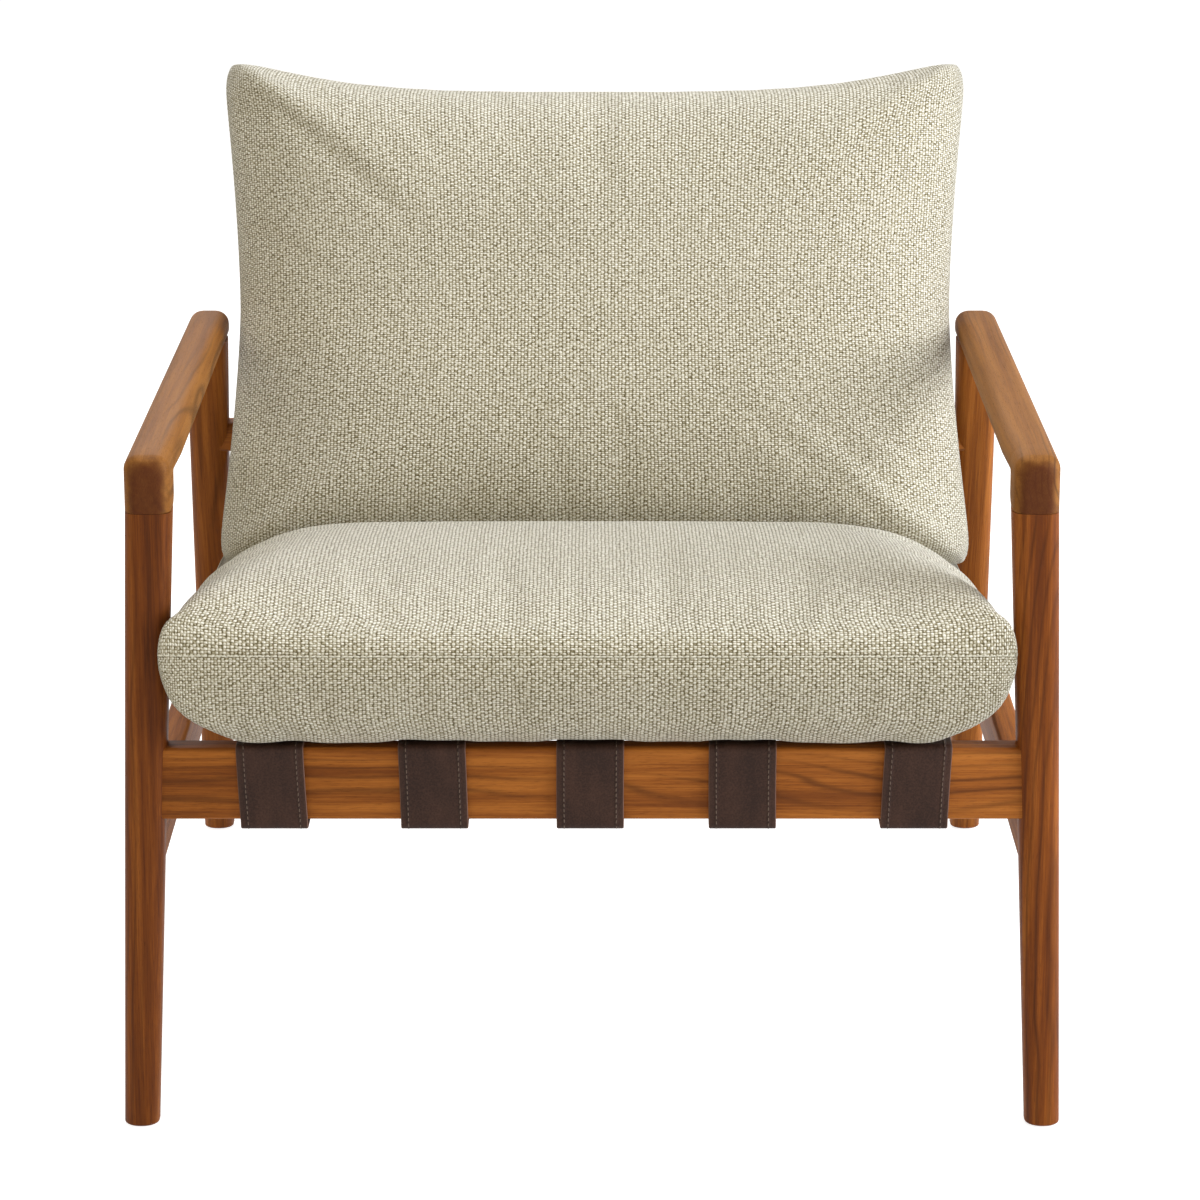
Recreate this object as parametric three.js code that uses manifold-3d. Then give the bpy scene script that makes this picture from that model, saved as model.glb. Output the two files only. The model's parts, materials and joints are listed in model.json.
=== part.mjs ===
// Lounge chair: a splayed hardwood frame carries leather straps, and two loose cushions lie on the straps.
// Millimetres, +Z up. The sitter faces -Y, and left and right are as seen by someone facing the chair.
// Before the last step Y is 0 at the front legs' front face and Z is 0 on the floor.
import * as THREE from 'three';
import { mergeVertices } from 'three/addons/utils/BufferGeometryUtils.js';
import Module from 'manifold-3d';

// Clearances
const FIT = 0.3;
const BORE_CLEARANCE = 0.1;
const CUT_OVERRUN = 4;

// Side frames: the leg planes lean outwards to the floor
const SPLAY_DEG = 2.2;
const CUSHION_TO_ARM = 2;
const ARM_TOP = 555;
const ARM_WIDTH = 37;
const ARM_THICKNESS = 23;
const ARM_BEHIND_LEG = 27;
const ARM_EDGE_RADIUS = 9;
const ARM_END_ROUND = 17;
const KNUCKLE_PROUD = 1;
const KNUCKLE_DROP = 22;

// Legs
const LEG_TOP_WIDTH = 36;
const LEG_FOOT_WIDTH = 28;
const LEG_CORNER_TOP = 10.5;
const LEG_CORNER_FOOT = 11.5;
const FOOT_CHAMFER = 2.5;
const BACK_RAKE_DEG = 22.5;

// Foot glides
const GLIDE_RADIUS = 10;
const GLIDE_THICKNESS = 2.5;
const GLIDE_PIN_RADIUS = 2.5;
const GLIDE_PIN_LENGTH = 14;

// Rails
const FRONT_RAIL_RISE = 58;
const FRONT_RAIL_HEIGHT = 59;
const FRONT_RAIL_THICKNESS = 24;
const FRONT_RAIL_SETBACK = 4;
const SIDE_RAIL_TOP = 261;
const SIDE_RAIL_HEIGHT = 44;
const SIDE_RAIL_THICKNESS = 22;
const SIDE_RAIL_INSET = 2;
const REAR_RAIL_THICKNESS = 24;
const REAR_RAIL_BEHIND_SEAT = 9.5;
const CROSS_RAIL_SIZE = 26;
const CROSS_RAIL_BELOW_ARM = 84;
const CROSS_RAIL_AHEAD_OF_LEG = 1.2;
const TOP_RAIL_HEIGHT = 44;
const TOP_RAIL_THICKNESS = 24;
const TOP_RAIL_BELOW_CUSHION = 54.2;
const RAIL_EDGE_RADIUS = 3.5;

// Backrest posts stand on the rear seat rail and lean back like the back legs
const POST_INSET = 22;
const POST_WIDTH = 28;
const POST_DEPTH = 25;
const POST_NOTCH = 6;
const POST_ABOVE_RAIL = 6;

// Straps
const STRAP_THICKNESS = 3;
const STRAP_BEND = 4.6;
const STRAP_SLACK = 4.5;
const STRAP_END_LAP = 34;
const SEAT_STRAP_WIDTH = 53;
const SEAT_STRAP_TO_POST = 4.5;
const BACK_STRAP_WIDTH = 53;
const BACK_STRAP_TO_POST = 75.5;
const BACK_STRAP_COUNT = 4;
const BACK_STRAP_LAP = 18;

// Fasteners
const DOWEL_RADIUS = 4;
const DOWEL_LENGTH = 34;
const TENON_LENGTH = 14;
const TENON_THICKNESS = 10;
const TENON_SHOULDER = 8;
const ARM_DOWEL_IN_ARM = 13;
const SCREW_HEAD_RADIUS = 6;
const SCREW_HEAD_HEIGHT = 2.5;
const SCREW_RADIUS = 2;
const SCREW_LENGTH = 17;
const POST_SCREW_LENGTH = 40;
const SCREW_SIDES = 8;

// Cushions
const SEAT_WIDTH = 642;
const SEAT_FRONT_FLARE = 13;
const SEAT_LENGTH = 536;
const SEAT_FRONT_OVERHANG = 33;
const SEAT_BELOW_SEAM = 70;
const SEAT_ABOVE_SEAM = 44;
const SEAT_CROWN = 15;
const SEAT_SIDE_DRAW = 7;
const SEAT_FRONT_DRAW = -5;
const BACK_TOP_FLARE = 14;
const BACK_SIDE_DRAW = 7;
const BACK_HEIGHT = 444;
const BACK_TOP_DRAW = 21;
const BACK_BOTTOM_DRAW = 10;
const BACK_ABOVE_RAIL = 89;
const BACK_FRONT_DEPTH = 78;
const BACK_REAR_DEPTH = 72;
const BACK_CROWN = 6;
const COVER_WALL = 2;
const CORE_EASE = 0.5;
const ZIP_SLIT = 1.5;
const ZIP_WIDTH = 16;
const ZIP_THICKNESS = 2;
const ZIP_PULL_WIDTH = 9;

// Shares of the sizes above. Each seat strap lies off its even place by a share of its width.
const SEAT_STRAP_DRIFT_SHARES = [0.03, 0.02, -0.03, -0.17, 0.04];
const SEAT_CORNER_SHARE = 0.02;
const BACK_CORNER_SHARE = 0;
const FLARE_START_SHARE = 0.875;
const FLARE_RUN_SHARE = 0.09;
const ZIP_PULL_SHARE = 0.3;

// Counts and exponents of the forms
const CORNER_STEPS = 4;
const LEG_RINGS = 3;
const ROUND_STEPS = 4;
const DOWEL_SIDES = 8;
const GLIDE_SIDES = 20;
const BEND_STEPS = 3;
const SEAT_GRID = [18, 14];
const BACK_GRID = [16, 13];
const SEAT_POWER = [9, 9];
const BACK_POWER = [5, 5];
const CORNER_POWER = 10;
const ZIP_MARGIN_COLUMNS = 4;
const BACK_ZIP_ROW = 3;

const radians = THREE.MathUtils.degToRad;
const splay = Math.tan(radians(SPLAY_DEG));
const rakeAngle = radians(BACK_RAKE_DEG);
const rake = Math.tan(rakeAngle);
const X_AXIS = new THREE.Vector3(1, 0, 0);
const Y_AXIS = new THREE.Vector3(0, 1, 0);
const Z_AXIS = new THREE.Vector3(0, 0, 1);
const SIDES = { left: -1, right: 1 };

// The frame is drawn round the cushions: the arms stand beside them
const armCentreX = SEAT_WIDTH / 2 + CUSHION_TO_ARM + ARM_WIDTH / 2;
const armUnder = ARM_TOP - ARM_THICKNESS;
const kneeZ = armUnder - KNUCKLE_DROP;
const knuckleDepth = LEG_TOP_WIDTH + KNUCKLE_PROUD;

// The posts stand on the rear seat rail behind the seat cushion, and lean back
const postX = SEAT_WIDTH / 2 - POST_INSET;
const rearRailY = SEAT_LENGTH - SEAT_FRONT_OVERHANG + REAR_RAIL_BEHIND_SEAT;
const postHalfDepth = POST_DEPTH / 2 / Math.cos(rakeAngle);
const postY = (z) => rearRailY + rake * (z - SIDE_RAIL_TOP);

// The cross rail is housed in the posts' front faces, and the back legs lean the other way from it
const crossRailZ = armUnder - CROSS_RAIL_BELOW_ARM - CROSS_RAIL_SIZE / 2;
const crossRailY = postY(crossRailZ) - postHalfDepth + POST_NOTCH - CROSS_RAIL_SIZE / 2;
const backLegY = (z) => crossRailY + CROSS_RAIL_AHEAD_OF_LEG + rake * (crossRailZ - z);
const armLength = backLegY(armUnder) + ARM_BEHIND_LEG;

const finishes = {
  wood: new THREE.MeshStandardMaterial({ color: 0xa0642f, roughness: 0.5, metalness: 0 }),
  leather: new THREE.MeshStandardMaterial({ color: 0x44302a, roughness: 0.55, metalness: 0 }),
  fabric: new THREE.MeshStandardMaterial({ color: 0xcfc7ae, roughness: 0.95, metalness: 0 }),
  foam: new THREE.MeshStandardMaterial({ color: 0xe9e2c8, roughness: 0.9, metalness: 0 }),
  zip: new THREE.MeshStandardMaterial({ color: 0xb9b093, roughness: 0.6, metalness: 0 }),
  dowel: new THREE.MeshStandardMaterial({ color: 0xd0a878, roughness: 0.7, metalness: 0 }),
  brass: new THREE.MeshStandardMaterial({ color: 0x8f7442, roughness: 0.35, metalness: 1 }),
  glide: new THREE.MeshStandardMaterial({ color: 0x2c2623, roughness: 0.6, metalness: 0 }),
};

// Solids: closed meshes go in and out of the boolean library
const wasm = await Module();
wasm.setup();

function solidOf(geometry) {
  const bare = geometry.clone();
  bare.deleteAttribute('normal');
  bare.deleteAttribute('uv');
  const merged = mergeVertices(bare);
  return new wasm.Manifold(new wasm.Mesh({
    numProp: 3,
    vertProperties: new Float32Array(merged.attributes.position.array),
    triVerts: new Uint32Array(merged.index.array),
  }));
}

function geometryOf(solid) {
  const mesh = solid.getMesh();
  const geometry = new THREE.BufferGeometry();
  geometry.setAttribute('position', new THREE.BufferAttribute(new Float32Array(mesh.vertProperties), 3));
  geometry.setIndex(new THREE.BufferAttribute(new Uint32Array(mesh.triVerts), 1));
  geometry.computeVertexNormals();
  return geometry;
}

// Twice the area of a ring of points, as a vector along its normal
function ringArea(ring) {
  return ring.reduce((sum, point, i) => (
    sum.add(new THREE.Vector3().crossVectors(point, ring[(i + 1) % ring.length]))), new THREE.Vector3());
}

// A closed skin over rings of points, whichever way round the rings run
function loft(stack) {
  const first = stack[0];
  const onwards = stack[stack.length - 1][0].clone().sub(first[0]);
  const rings = ringArea(first).dot(onwards) > 0 ? stack : stack.map((ring) => [...ring].reverse());
  const count = first.length;
  const points = rings.flat();
  const faces = [];
  for (let ring = 0; ring + 1 < rings.length; ring += 1) {
    for (let i = 0; i < count; i += 1) {
      const a = ring * count + i;
      const b = ring * count + (i + 1) % count;
      faces.push(a, b, b + count, a, b + count, a + count);
    }
  }
  const last = (rings.length - 1) * count;
  for (let i = 1; i + 1 < count; i += 1) {
    faces.push(0, i + 1, i);
    faces.push(last, last + i, last + i + 1);
  }
  const geometry = new THREE.BufferGeometry().setFromPoints(points);
  geometry.setIndex(faces);
  return geometry;
}

// The points of a rectangle with round corners, anticlockwise, centred on the origin
function roundedRectangle(width, height, radius) {
  const round = Math.min(radius, width / 2, height / 2);
  const points = [];
  const corners = [[1, -1], [1, 1], [-1, 1], [-1, -1]];
  corners.forEach(([sideX, sideY], corner) => {
    for (let step = 0; step <= CORNER_STEPS; step += 1) {
      const angle = (Math.PI / 2) * (corner - 1 + step / CORNER_STEPS);
      points.push(new THREE.Vector2(
        sideX * (width / 2 - round) + round * Math.cos(angle),
        sideY * (height / 2 - round) + round * Math.sin(angle),
      ));
    }
  });
  return points;
}

// Extrudes an outline: its x and y run along the two given axes, and its length along their cross product
function prism(outline, alongX, alongY, origin, length) {
  const shape = new THREE.Shape(outline);
  const geometry = new THREE.ExtrudeGeometry(shape, { depth: length, bevelEnabled: false });
  const across = new THREE.Vector3().crossVectors(alongX, alongY);
  const place = new THREE.Matrix4().makeBasis(alongX, alongY, across).setPosition(origin);
  return geometry.applyMatrix4(place);
}

// A round pin from a point along a direction
function pin(start, direction, length, radius, sides) {
  const geometry = new THREE.CylinderGeometry(radius, radius, length, sides);
  const turn = new THREE.Quaternion().setFromUnitVectors(Y_AXIS, direction);
  geometry.applyQuaternion(turn);
  const middle = start.clone().addScaledVector(direction, length / 2);
  return geometry.translate(middle.x, middle.y, middle.z);
}

// The chair's solids by node name, each with its finish
const parts = new Map();

function addPart(name, finish, solid) {
  parts.set(name, { finish, solid });
}

function cut(name, tool) {
  const part = parts.get(name);
  part.solid = part.solid.subtract(tool);
}

// Where a side frame's middle plane lies at a height
function frameX(z) {
  return armCentreX + splay * (ARM_TOP - ARM_THICKNESS / 2 - z);
}

function legWidth(z, top) {
  return THREE.MathUtils.lerp(LEG_FOOT_WIDTH, LEG_TOP_WIDTH, z / top);
}

function legCorner(z, top) {
  return THREE.MathUtils.lerp(LEG_CORNER_FOOT, LEG_CORNER_TOP, z / top);
}

function frontLegY(z) {
  return legWidth(z, kneeZ) / 2;
}

function backLegDepth(z) {
  return legWidth(z, armUnder) / Math.cos(rakeAngle);
}

// A leg is a stack of level rings, with a small chamfer round its foot
function legSolid(side, top, centreY, depthAt, growth) {
  const foot = GLIDE_THICKNESS + FIT - growth;
  const heights = [foot, foot + FOOT_CHAMFER];
  for (let ring = 1; ring <= LEG_RINGS; ring += 1) {
    heights.push(THREE.MathUtils.lerp(foot + FOOT_CHAMFER, top - FIT + growth, ring / LEG_RINGS));
  }
  const rings = heights.map((z, index) => {
    const inset = index === 0 && growth === 0 ? FOOT_CHAMFER : 0;
    const width = legWidth(z, top) + 2 * (growth - inset);
    const depth = depthAt(z) + 2 * (growth - inset);
    const outline = roundedRectangle(width, depth, legCorner(z, top) + growth - inset);
    return outline.map((point) => new THREE.Vector3(side * frameX(z) + point.x, centreY(z) + point.y, z));
  });
  return solidOf(loft(rings));
}

const frontLegDepth = (z) => legWidth(z, kneeZ);

function frontLeg(side, growth) {
  return legSolid(side, kneeZ, frontLegY, frontLegDepth, growth);
}

function backLeg(side, growth) {
  return legSolid(side, armUnder, backLegY, backLegDepth, growth);
}

// The arm: a bar with soft edges, rounded at its back end, and a knuckle that drops onto the front leg
function armBar(side) {
  const middle = ARM_TOP - ARM_THICKNESS / 2;
  const places = [[ARM_EDGE_RADIUS, 1]];
  for (let step = 0; step <= ROUND_STEPS; step += 1) {
    const angle = (Math.PI / 2) * (step / (ROUND_STEPS + 1));
    places.push([armLength - ARM_END_ROUND * (1 - Math.sin(angle)), Math.cos(angle)]);
  }
  const rings = places.map(([y, share]) => {
    const narrow = (ARM_WIDTH / 2) * (1 - share);
    const thin = Math.min(narrow, ARM_EDGE_RADIUS / 2);
    const outline = roundedRectangle(ARM_WIDTH - 2 * narrow, ARM_THICKNESS - 2 * thin, ARM_EDGE_RADIUS);
    return outline.map((point) => new THREE.Vector3(side * armCentreX + point.x, y, middle + point.y));
  });
  return solidOf(loft(rings));
}

function armKnuckle(side) {
  const levels = [[kneeZ, 0]];
  for (let step = 0; step <= ROUND_STEPS; step += 1) {
    const angle = (Math.PI / 2) * (step / ROUND_STEPS);
    const inset = ARM_EDGE_RADIUS * (1 - Math.cos(angle));
    levels.push([ARM_TOP - ARM_EDGE_RADIUS * (1 - Math.sin(angle)), inset]);
  }
  const rings = levels.map(([z, inset]) => {
    const width = z < armUnder ? LEG_TOP_WIDTH : ARM_WIDTH;
    const outline = roundedRectangle(width - 2 * inset, knuckleDepth - 2 * inset, LEG_CORNER_TOP - inset / 2);
    const x = side * (z < armUnder ? frameX(kneeZ) : armCentreX);
    return outline.map((point) => new THREE.Vector3(x + point.x, knuckleDepth / 2 + point.y, z));
  });
  return solidOf(loft(rings));
}

// Rails that run across the chair, with eased edges. Their ends are coped to the pieces they meet.
function crossPiece(y, z, depth, height, halfLength, lean) {
  const up = new THREE.Vector3(0, Math.sin(lean), Math.cos(lean));
  const back = new THREE.Vector3(0, Math.cos(lean), -Math.sin(lean));
  const outline = roundedRectangle(depth, height, RAIL_EDGE_RADIUS);
  return solidOf(prism(outline, back, up, new THREE.Vector3(-halfLength, y, z), 2 * halfLength));
}

const frontRailTop = SIDE_RAIL_TOP + FRONT_RAIL_RISE;
const frontRailZ = frontRailTop - FRONT_RAIL_HEIGHT / 2;
const frontRailY = FRONT_RAIL_SETBACK + FRONT_RAIL_THICKNESS / 2;
const sideRailZ = SIDE_RAIL_TOP - SIDE_RAIL_HEIGHT / 2;
const legInsideX = (z) => frameX(z) - legWidth(z, kneeZ) / 2;
const sideRailX = legInsideX(sideRailZ) + SIDE_RAIL_INSET + SIDE_RAIL_THICKNESS / 2;

// The back cushion stands on the seat cushion's rear end, and the top rail lies behind its upper part
const backBottomZ = SIDE_RAIL_TOP + BACK_ABOVE_RAIL;
const topRailTop = backBottomZ + BACK_HEIGHT * Math.cos(rakeAngle) - TOP_RAIL_BELOW_CUSHION;
const topRailHalf = (TOP_RAIL_HEIGHT / 2) * Math.cos(rakeAngle);
const topRailZ = topRailTop - topRailHalf;
const topRailOff = (POST_DEPTH / 2 + FIT + TOP_RAIL_THICKNESS / 2) / Math.cos(rakeAngle);
const topRailY = postY(topRailZ) - topRailOff;
const leanUp = new THREE.Vector3(0, Math.sin(rakeAngle), Math.cos(rakeAngle));
const leanBack = new THREE.Vector3(0, Math.cos(rakeAngle), -Math.sin(rakeAngle));

function addFrame() {
  Object.entries(SIDES).forEach(([word, side]) => {
    addPart(`${word}_front_leg`, 'wood', frontLeg(side, 0));
    addPart(`${word}_back_leg`, 'wood', backLeg(side, 0));
    addPart(`${word}_arm`, 'wood', armBar(side).add(armKnuckle(side)));
    const outline = roundedRectangle(SIDE_RAIL_THICKNESS, SIDE_RAIL_HEIGHT, RAIL_EDGE_RADIUS);
    const railEnd = backLegY(sideRailZ);
    const start = new THREE.Vector3(side * sideRailX, railEnd, sideRailZ);
    const rail = solidOf(prism(outline, X_AXIS, Z_AXIS, start, railEnd - frontLegY(sideRailZ)));
    addPart(`${word}_side_rail`, 'wood', rail.subtract(frontLeg(side, FIT)).subtract(backLeg(side, FIT)));
  });

  const frontHalf = frameX(frontRailZ);
  const front = crossPiece(frontRailY, frontRailZ, FRONT_RAIL_THICKNESS, FRONT_RAIL_HEIGHT, frontHalf, 0);
  addPart('front_rail', 'wood', front.subtract(frontLeg(-1, FIT)).subtract(frontLeg(1, FIT)));
  const rearHalf = sideRailX - SIDE_RAIL_THICKNESS / 2 - FIT;
  const rear = crossPiece(rearRailY, sideRailZ, REAR_RAIL_THICKNESS, SIDE_RAIL_HEIGHT, rearHalf, 0);
  addPart('rear_seat_rail', 'wood', rear);
  const cross = crossPiece(crossRailY, crossRailZ, CROSS_RAIL_SIZE, CROSS_RAIL_SIZE, frameX(crossRailZ), 0);
  addPart('back_cross_rail', 'wood', cross.subtract(backLeg(-1, FIT)).subtract(backLeg(1, FIT)));
  const topHalf = postX + POST_WIDTH / 2;
  const top = crossPiece(topRailY, topRailZ, TOP_RAIL_THICKNESS, TOP_RAIL_HEIGHT, topHalf, rakeAngle);
  addPart('back_top_rail', 'wood', top);
}

// The housing that a post has for the cross rail
function postHousing(x) {
  const size = CROSS_RAIL_SIZE + 2 * FIT;
  const housing = new THREE.BoxGeometry(POST_WIDTH + 2 * CUT_OVERRUN, size, size);
  return solidOf(housing.translate(x, crossRailY, crossRailZ));
}

function addPosts() {
  Object.entries(SIDES).forEach(([word, side]) => {
    const x = side * postX;
    const foot = SIDE_RAIL_TOP + FIT;
    const head = topRailTop + POST_ABOVE_RAIL;
    const outline = roundedRectangle(POST_WIDTH, POST_DEPTH / Math.cos(rakeAngle), RAIL_EDGE_RADIUS);
    const rings = [foot, head].map((z) => outline.map((point) => (
      new THREE.Vector3(x + point.x, postY(z) + point.y, z))));
    addPart(`${word}_back_post`, 'wood', solidOf(loft(rings)).subtract(postHousing(x)));
  });
}

// Straps: a ribbon along a bent line in the plane of Y and Z
function bentLine(corners, bend) {
  const line = [corners[0]];
  for (let i = 1; i + 1 < corners.length; i += 1) {
    const before = corners[i - 1].clone().sub(corners[i]);
    const after = corners[i + 1].clone().sub(corners[i]);
    const half = before.angleTo(after) / 2;
    const reach = Math.min(bend / Math.tan(half), before.length() / 2, after.length() / 2);
    const start = corners[i].clone().addScaledVector(before.normalize(), reach);
    const end = corners[i].clone().addScaledVector(after.normalize(), reach);
    const curve = new THREE.QuadraticBezierCurve(start, corners[i], end);
    line.push(...curve.getPoints(BEND_STEPS));
  }
  line.push(corners[corners.length - 1]);
  return line;
}

function ribbonOutline(line, thickness) {
  const offset = (sideways) => line.map((point, i) => {
    const before = line[Math.max(i - 1, 0)];
    const after = line[Math.min(i + 1, line.length - 1)];
    const into = point.clone().sub(before);
    const out = after.clone().sub(point);
    const first = (into.lengthSq() ? into : out).clone().normalize();
    const second = (out.lengthSq() ? out : into).clone().normalize();
    const across = first.clone().add(second).normalize();
    const stretch = 1 / Math.max(across.dot(first), Math.cos(Math.PI / 4));
    const normal = new THREE.Vector2(-across.y, across.x);
    return point.clone().addScaledVector(normal, sideways * stretch);
  });
  return [...offset(thickness / 2), ...offset(-thickness / 2).reverse()];
}

function strap(corners, x, width) {
  const outline = ribbonOutline(bentLine(corners, STRAP_BEND), STRAP_THICKNESS);
  return solidOf(prism(outline, Y_AXIS, Z_AXIS, new THREE.Vector3(x - width / 2, 0, 0), width));
}

const strapOff = FIT + STRAP_THICKNESS / 2;
const frontRail = {
  front: FRONT_RAIL_SETBACK,
  back: FRONT_RAIL_SETBACK + FRONT_RAIL_THICKNESS,
  top: frontRailTop,
  bottom: frontRailTop - FRONT_RAIL_HEIGHT,
};
const rearRail = {
  front: rearRailY - REAR_RAIL_THICKNESS / 2,
  back: rearRailY + REAR_RAIL_THICKNESS / 2,
  top: SIDE_RAIL_TOP,
  bottom: SIDE_RAIL_TOP - SIDE_RAIL_HEIGHT,
};
const crossRail = {
  front: crossRailY - CROSS_RAIL_SIZE / 2,
  back: crossRailY + CROSS_RAIL_SIZE / 2,
  top: crossRailZ + CROSS_RAIL_SIZE / 2,
  bottom: crossRailZ - CROSS_RAIL_SIZE / 2,
};

// From behind the front rail, under and over it, back to the rear rail, round it and up its front
function seatStrapCorners() {
  const at = (y, z) => new THREE.Vector2(y, z);
  return [
    at(frontRail.back + strapOff, frontRail.bottom + STRAP_END_LAP),
    at(frontRail.back + strapOff, frontRail.bottom - STRAP_SLACK - strapOff),
    at(frontRail.front - strapOff, frontRail.bottom - STRAP_SLACK - strapOff),
    at(frontRail.front - strapOff, frontRail.top + strapOff),
    at(frontRail.back, frontRail.top + strapOff),
    at(rearRail.front, rearRail.top + strapOff),
    at(rearRail.back + strapOff, rearRail.top + strapOff),
    at(rearRail.back + strapOff, rearRail.bottom - strapOff),
    at(rearRail.front - strapOff, rearRail.bottom - strapOff),
    at(rearRail.front - strapOff, rearRail.bottom + STRAP_END_LAP),
  ];
}

// A point of the leaning back plane, from the top rail's middle
function topRailPoint(back, up) {
  return new THREE.Vector2(
    topRailY + back * leanBack.y + up * leanUp.y,
    topRailZ + back * leanBack.z + up * leanUp.z,
  );
}

const backStrapStand = TOP_RAIL_THICKNESS / 2 + strapOff;

// From behind the top rail, over it, down the front to the cross rail, under it and up its back
function backStrapCorners() {
  const at = (y, z) => new THREE.Vector2(y, z);
  const half = TOP_RAIL_HEIGHT / 2;
  return [
    topRailPoint(backStrapStand, half - STRAP_END_LAP),
    topRailPoint(backStrapStand, half + strapOff),
    topRailPoint(-backStrapStand, half + strapOff),
    topRailPoint(-backStrapStand, -half),
    at(crossRail.front - strapOff, crossRail.top),
    at(crossRail.front - strapOff, crossRail.bottom - strapOff),
    at(crossRail.back + strapOff, crossRail.bottom - strapOff),
    at(crossRail.back + strapOff, crossRail.bottom + STRAP_BEND + BACK_STRAP_LAP),
  ];
}

// The places of a row of straps across the chair. The outer straps lie a named distance inside the posts.
function strapRow(count, width, toPost) {
  const outermost = postX - POST_WIDTH / 2 - toPost - width / 2;
  return Array.from({ length: count }, (_, i) => outermost * ((2 * i) / (count - 1) - 1));
}

const seatStrapX = strapRow(SEAT_STRAP_DRIFT_SHARES.length, SEAT_STRAP_WIDTH, SEAT_STRAP_TO_POST)
  .map((x, i) => x + SEAT_STRAP_DRIFT_SHARES[i] * SEAT_STRAP_WIDTH);
const backStrapX = strapRow(BACK_STRAP_COUNT, BACK_STRAP_WIDTH, BACK_STRAP_TO_POST);

function addStraps() {
  seatStrapX.forEach((x, i) => {
    addPart(`seat_strap_${i + 1}`, 'leather', strap(seatStrapCorners(), x, SEAT_STRAP_WIDTH));
  });
  backStrapX.forEach((x, i) => {
    addPart(`back_strap_${i + 1}`, 'leather', strap(backStrapCorners(), x, BACK_STRAP_WIDTH));
  });
}

// Screws: a flat round head on a plain shank. The point lies under the head, and the shank runs ahead of it.
function screwGeometry(headAt, direction, length, radius) {
  const profile = [
    new THREE.Vector2(0, -SCREW_HEAD_HEIGHT),
    new THREE.Vector2(radius, -SCREW_HEAD_HEIGHT),
    new THREE.Vector2(radius, 0),
    new THREE.Vector2(SCREW_RADIUS, 0),
    new THREE.Vector2(SCREW_RADIUS, length),
    new THREE.Vector2(0, length),
  ];
  const geometry = new THREE.LatheGeometry(profile, SCREW_SIDES);
  geometry.applyQuaternion(new THREE.Quaternion().setFromUnitVectors(Y_AXIS, direction));
  return geometry.translate(headAt.x, headAt.y, headAt.z);
}

// One screw for each place, with its hole through the pieces that it holds
function addScrews(name, places, direction, length, holds) {
  places.forEach((place, i) => {
    const seat = place.clone().addScaledVector(direction, -FIT);
    addPart(`${name}_${i + 1}`, 'brass', solidOf(screwGeometry(seat, direction, length, SCREW_HEAD_RADIUS)));
    const start = place.clone().addScaledVector(direction, -CUT_OVERRUN);
    const reach = length + CUT_OVERRUN;
    const hole = solidOf(pin(start, direction, reach, SCREW_RADIUS + FIT, SCREW_SIDES));
    holds(i).forEach((node) => cut(node, hole));
  });
}

function addStrapScrews() {
  const backwards = Y_AXIS.clone();
  const forwards = Y_AXIS.clone().negate();
  const skin = FIT + STRAP_THICKNESS;
  const frontPlaces = seatStrapX.map((x) => (
    new THREE.Vector3(x, frontRail.back + skin, frontRail.bottom + STRAP_END_LAP / 2)));
  addScrews('seat_strap_front_screw', frontPlaces, forwards, SCREW_LENGTH,
    (i) => [`seat_strap_${i + 1}`, 'front_rail']);
  const rearPlaces = seatStrapX.map((x) => (
    new THREE.Vector3(x, rearRail.front - skin, rearRail.bottom + STRAP_END_LAP / 2)));
  addScrews('seat_strap_rear_screw', rearPlaces, backwards, SCREW_LENGTH,
    (i) => [`seat_strap_${i + 1}`, 'rear_seat_rail']);
  const lowPlaces = backStrapX.map((x) => (
    new THREE.Vector3(x, crossRail.back + skin, crossRailZ)));
  addScrews('back_strap_lower_screw', lowPlaces, forwards, SCREW_LENGTH,
    (i) => [`back_strap_${i + 1}`, 'back_cross_rail']);
  const behind = topRailPoint(TOP_RAIL_THICKNESS / 2 + skin, 0);
  const highPlaces = backStrapX.map((x) => new THREE.Vector3(x, behind.x, behind.y));
  addScrews('back_strap_upper_screw', highPlaces, leanBack.clone().negate(), SCREW_LENGTH,
    (i) => [`back_strap_${i + 1}`, 'back_top_rail']);
}

// Each post is screwed from behind to the cross rail and to the top rail
function addPostScrews() {
  const sides = Object.entries(SIDES);
  const forwards = leanBack.clone().negate();
  const holds = (rail) => (i) => [`${sides[i][0]}_back_post`, rail];
  const places = (y, z, distance) => sides.map(([, side]) => (
    new THREE.Vector3(side * postX, y, z).addScaledVector(leanBack, distance)));
  const crossReach = (postY(crossRailZ) - crossRailY) * leanBack.y + POST_DEPTH / 2;
  addScrews('cross_rail_screw', places(crossRailY, crossRailZ, crossReach), forwards, POST_SCREW_LENGTH,
    holds('back_cross_rail'));
  const topReach = TOP_RAIL_THICKNESS / 2 + FIT + POST_DEPTH;
  addScrews('top_rail_screw', places(topRailY, topRailZ, topReach), forwards, POST_SCREW_LENGTH,
    holds('back_top_rail'));
}

// A tenon grows out of one piece into a mortise in the next. Its middle lies where the two pieces meet.
function addTenon(from, into, size, middle) {
  const block = (growth) => solidOf(new THREE.BoxGeometry(
    size.x + 2 * growth, size.y + 2 * growth, size.z + 2 * growth).translate(middle.x, middle.y, middle.z));
  const part = parts.get(from);
  part.solid = part.solid.add(block(0));
  cut(into, block(BORE_CLEARANCE));
}

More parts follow.
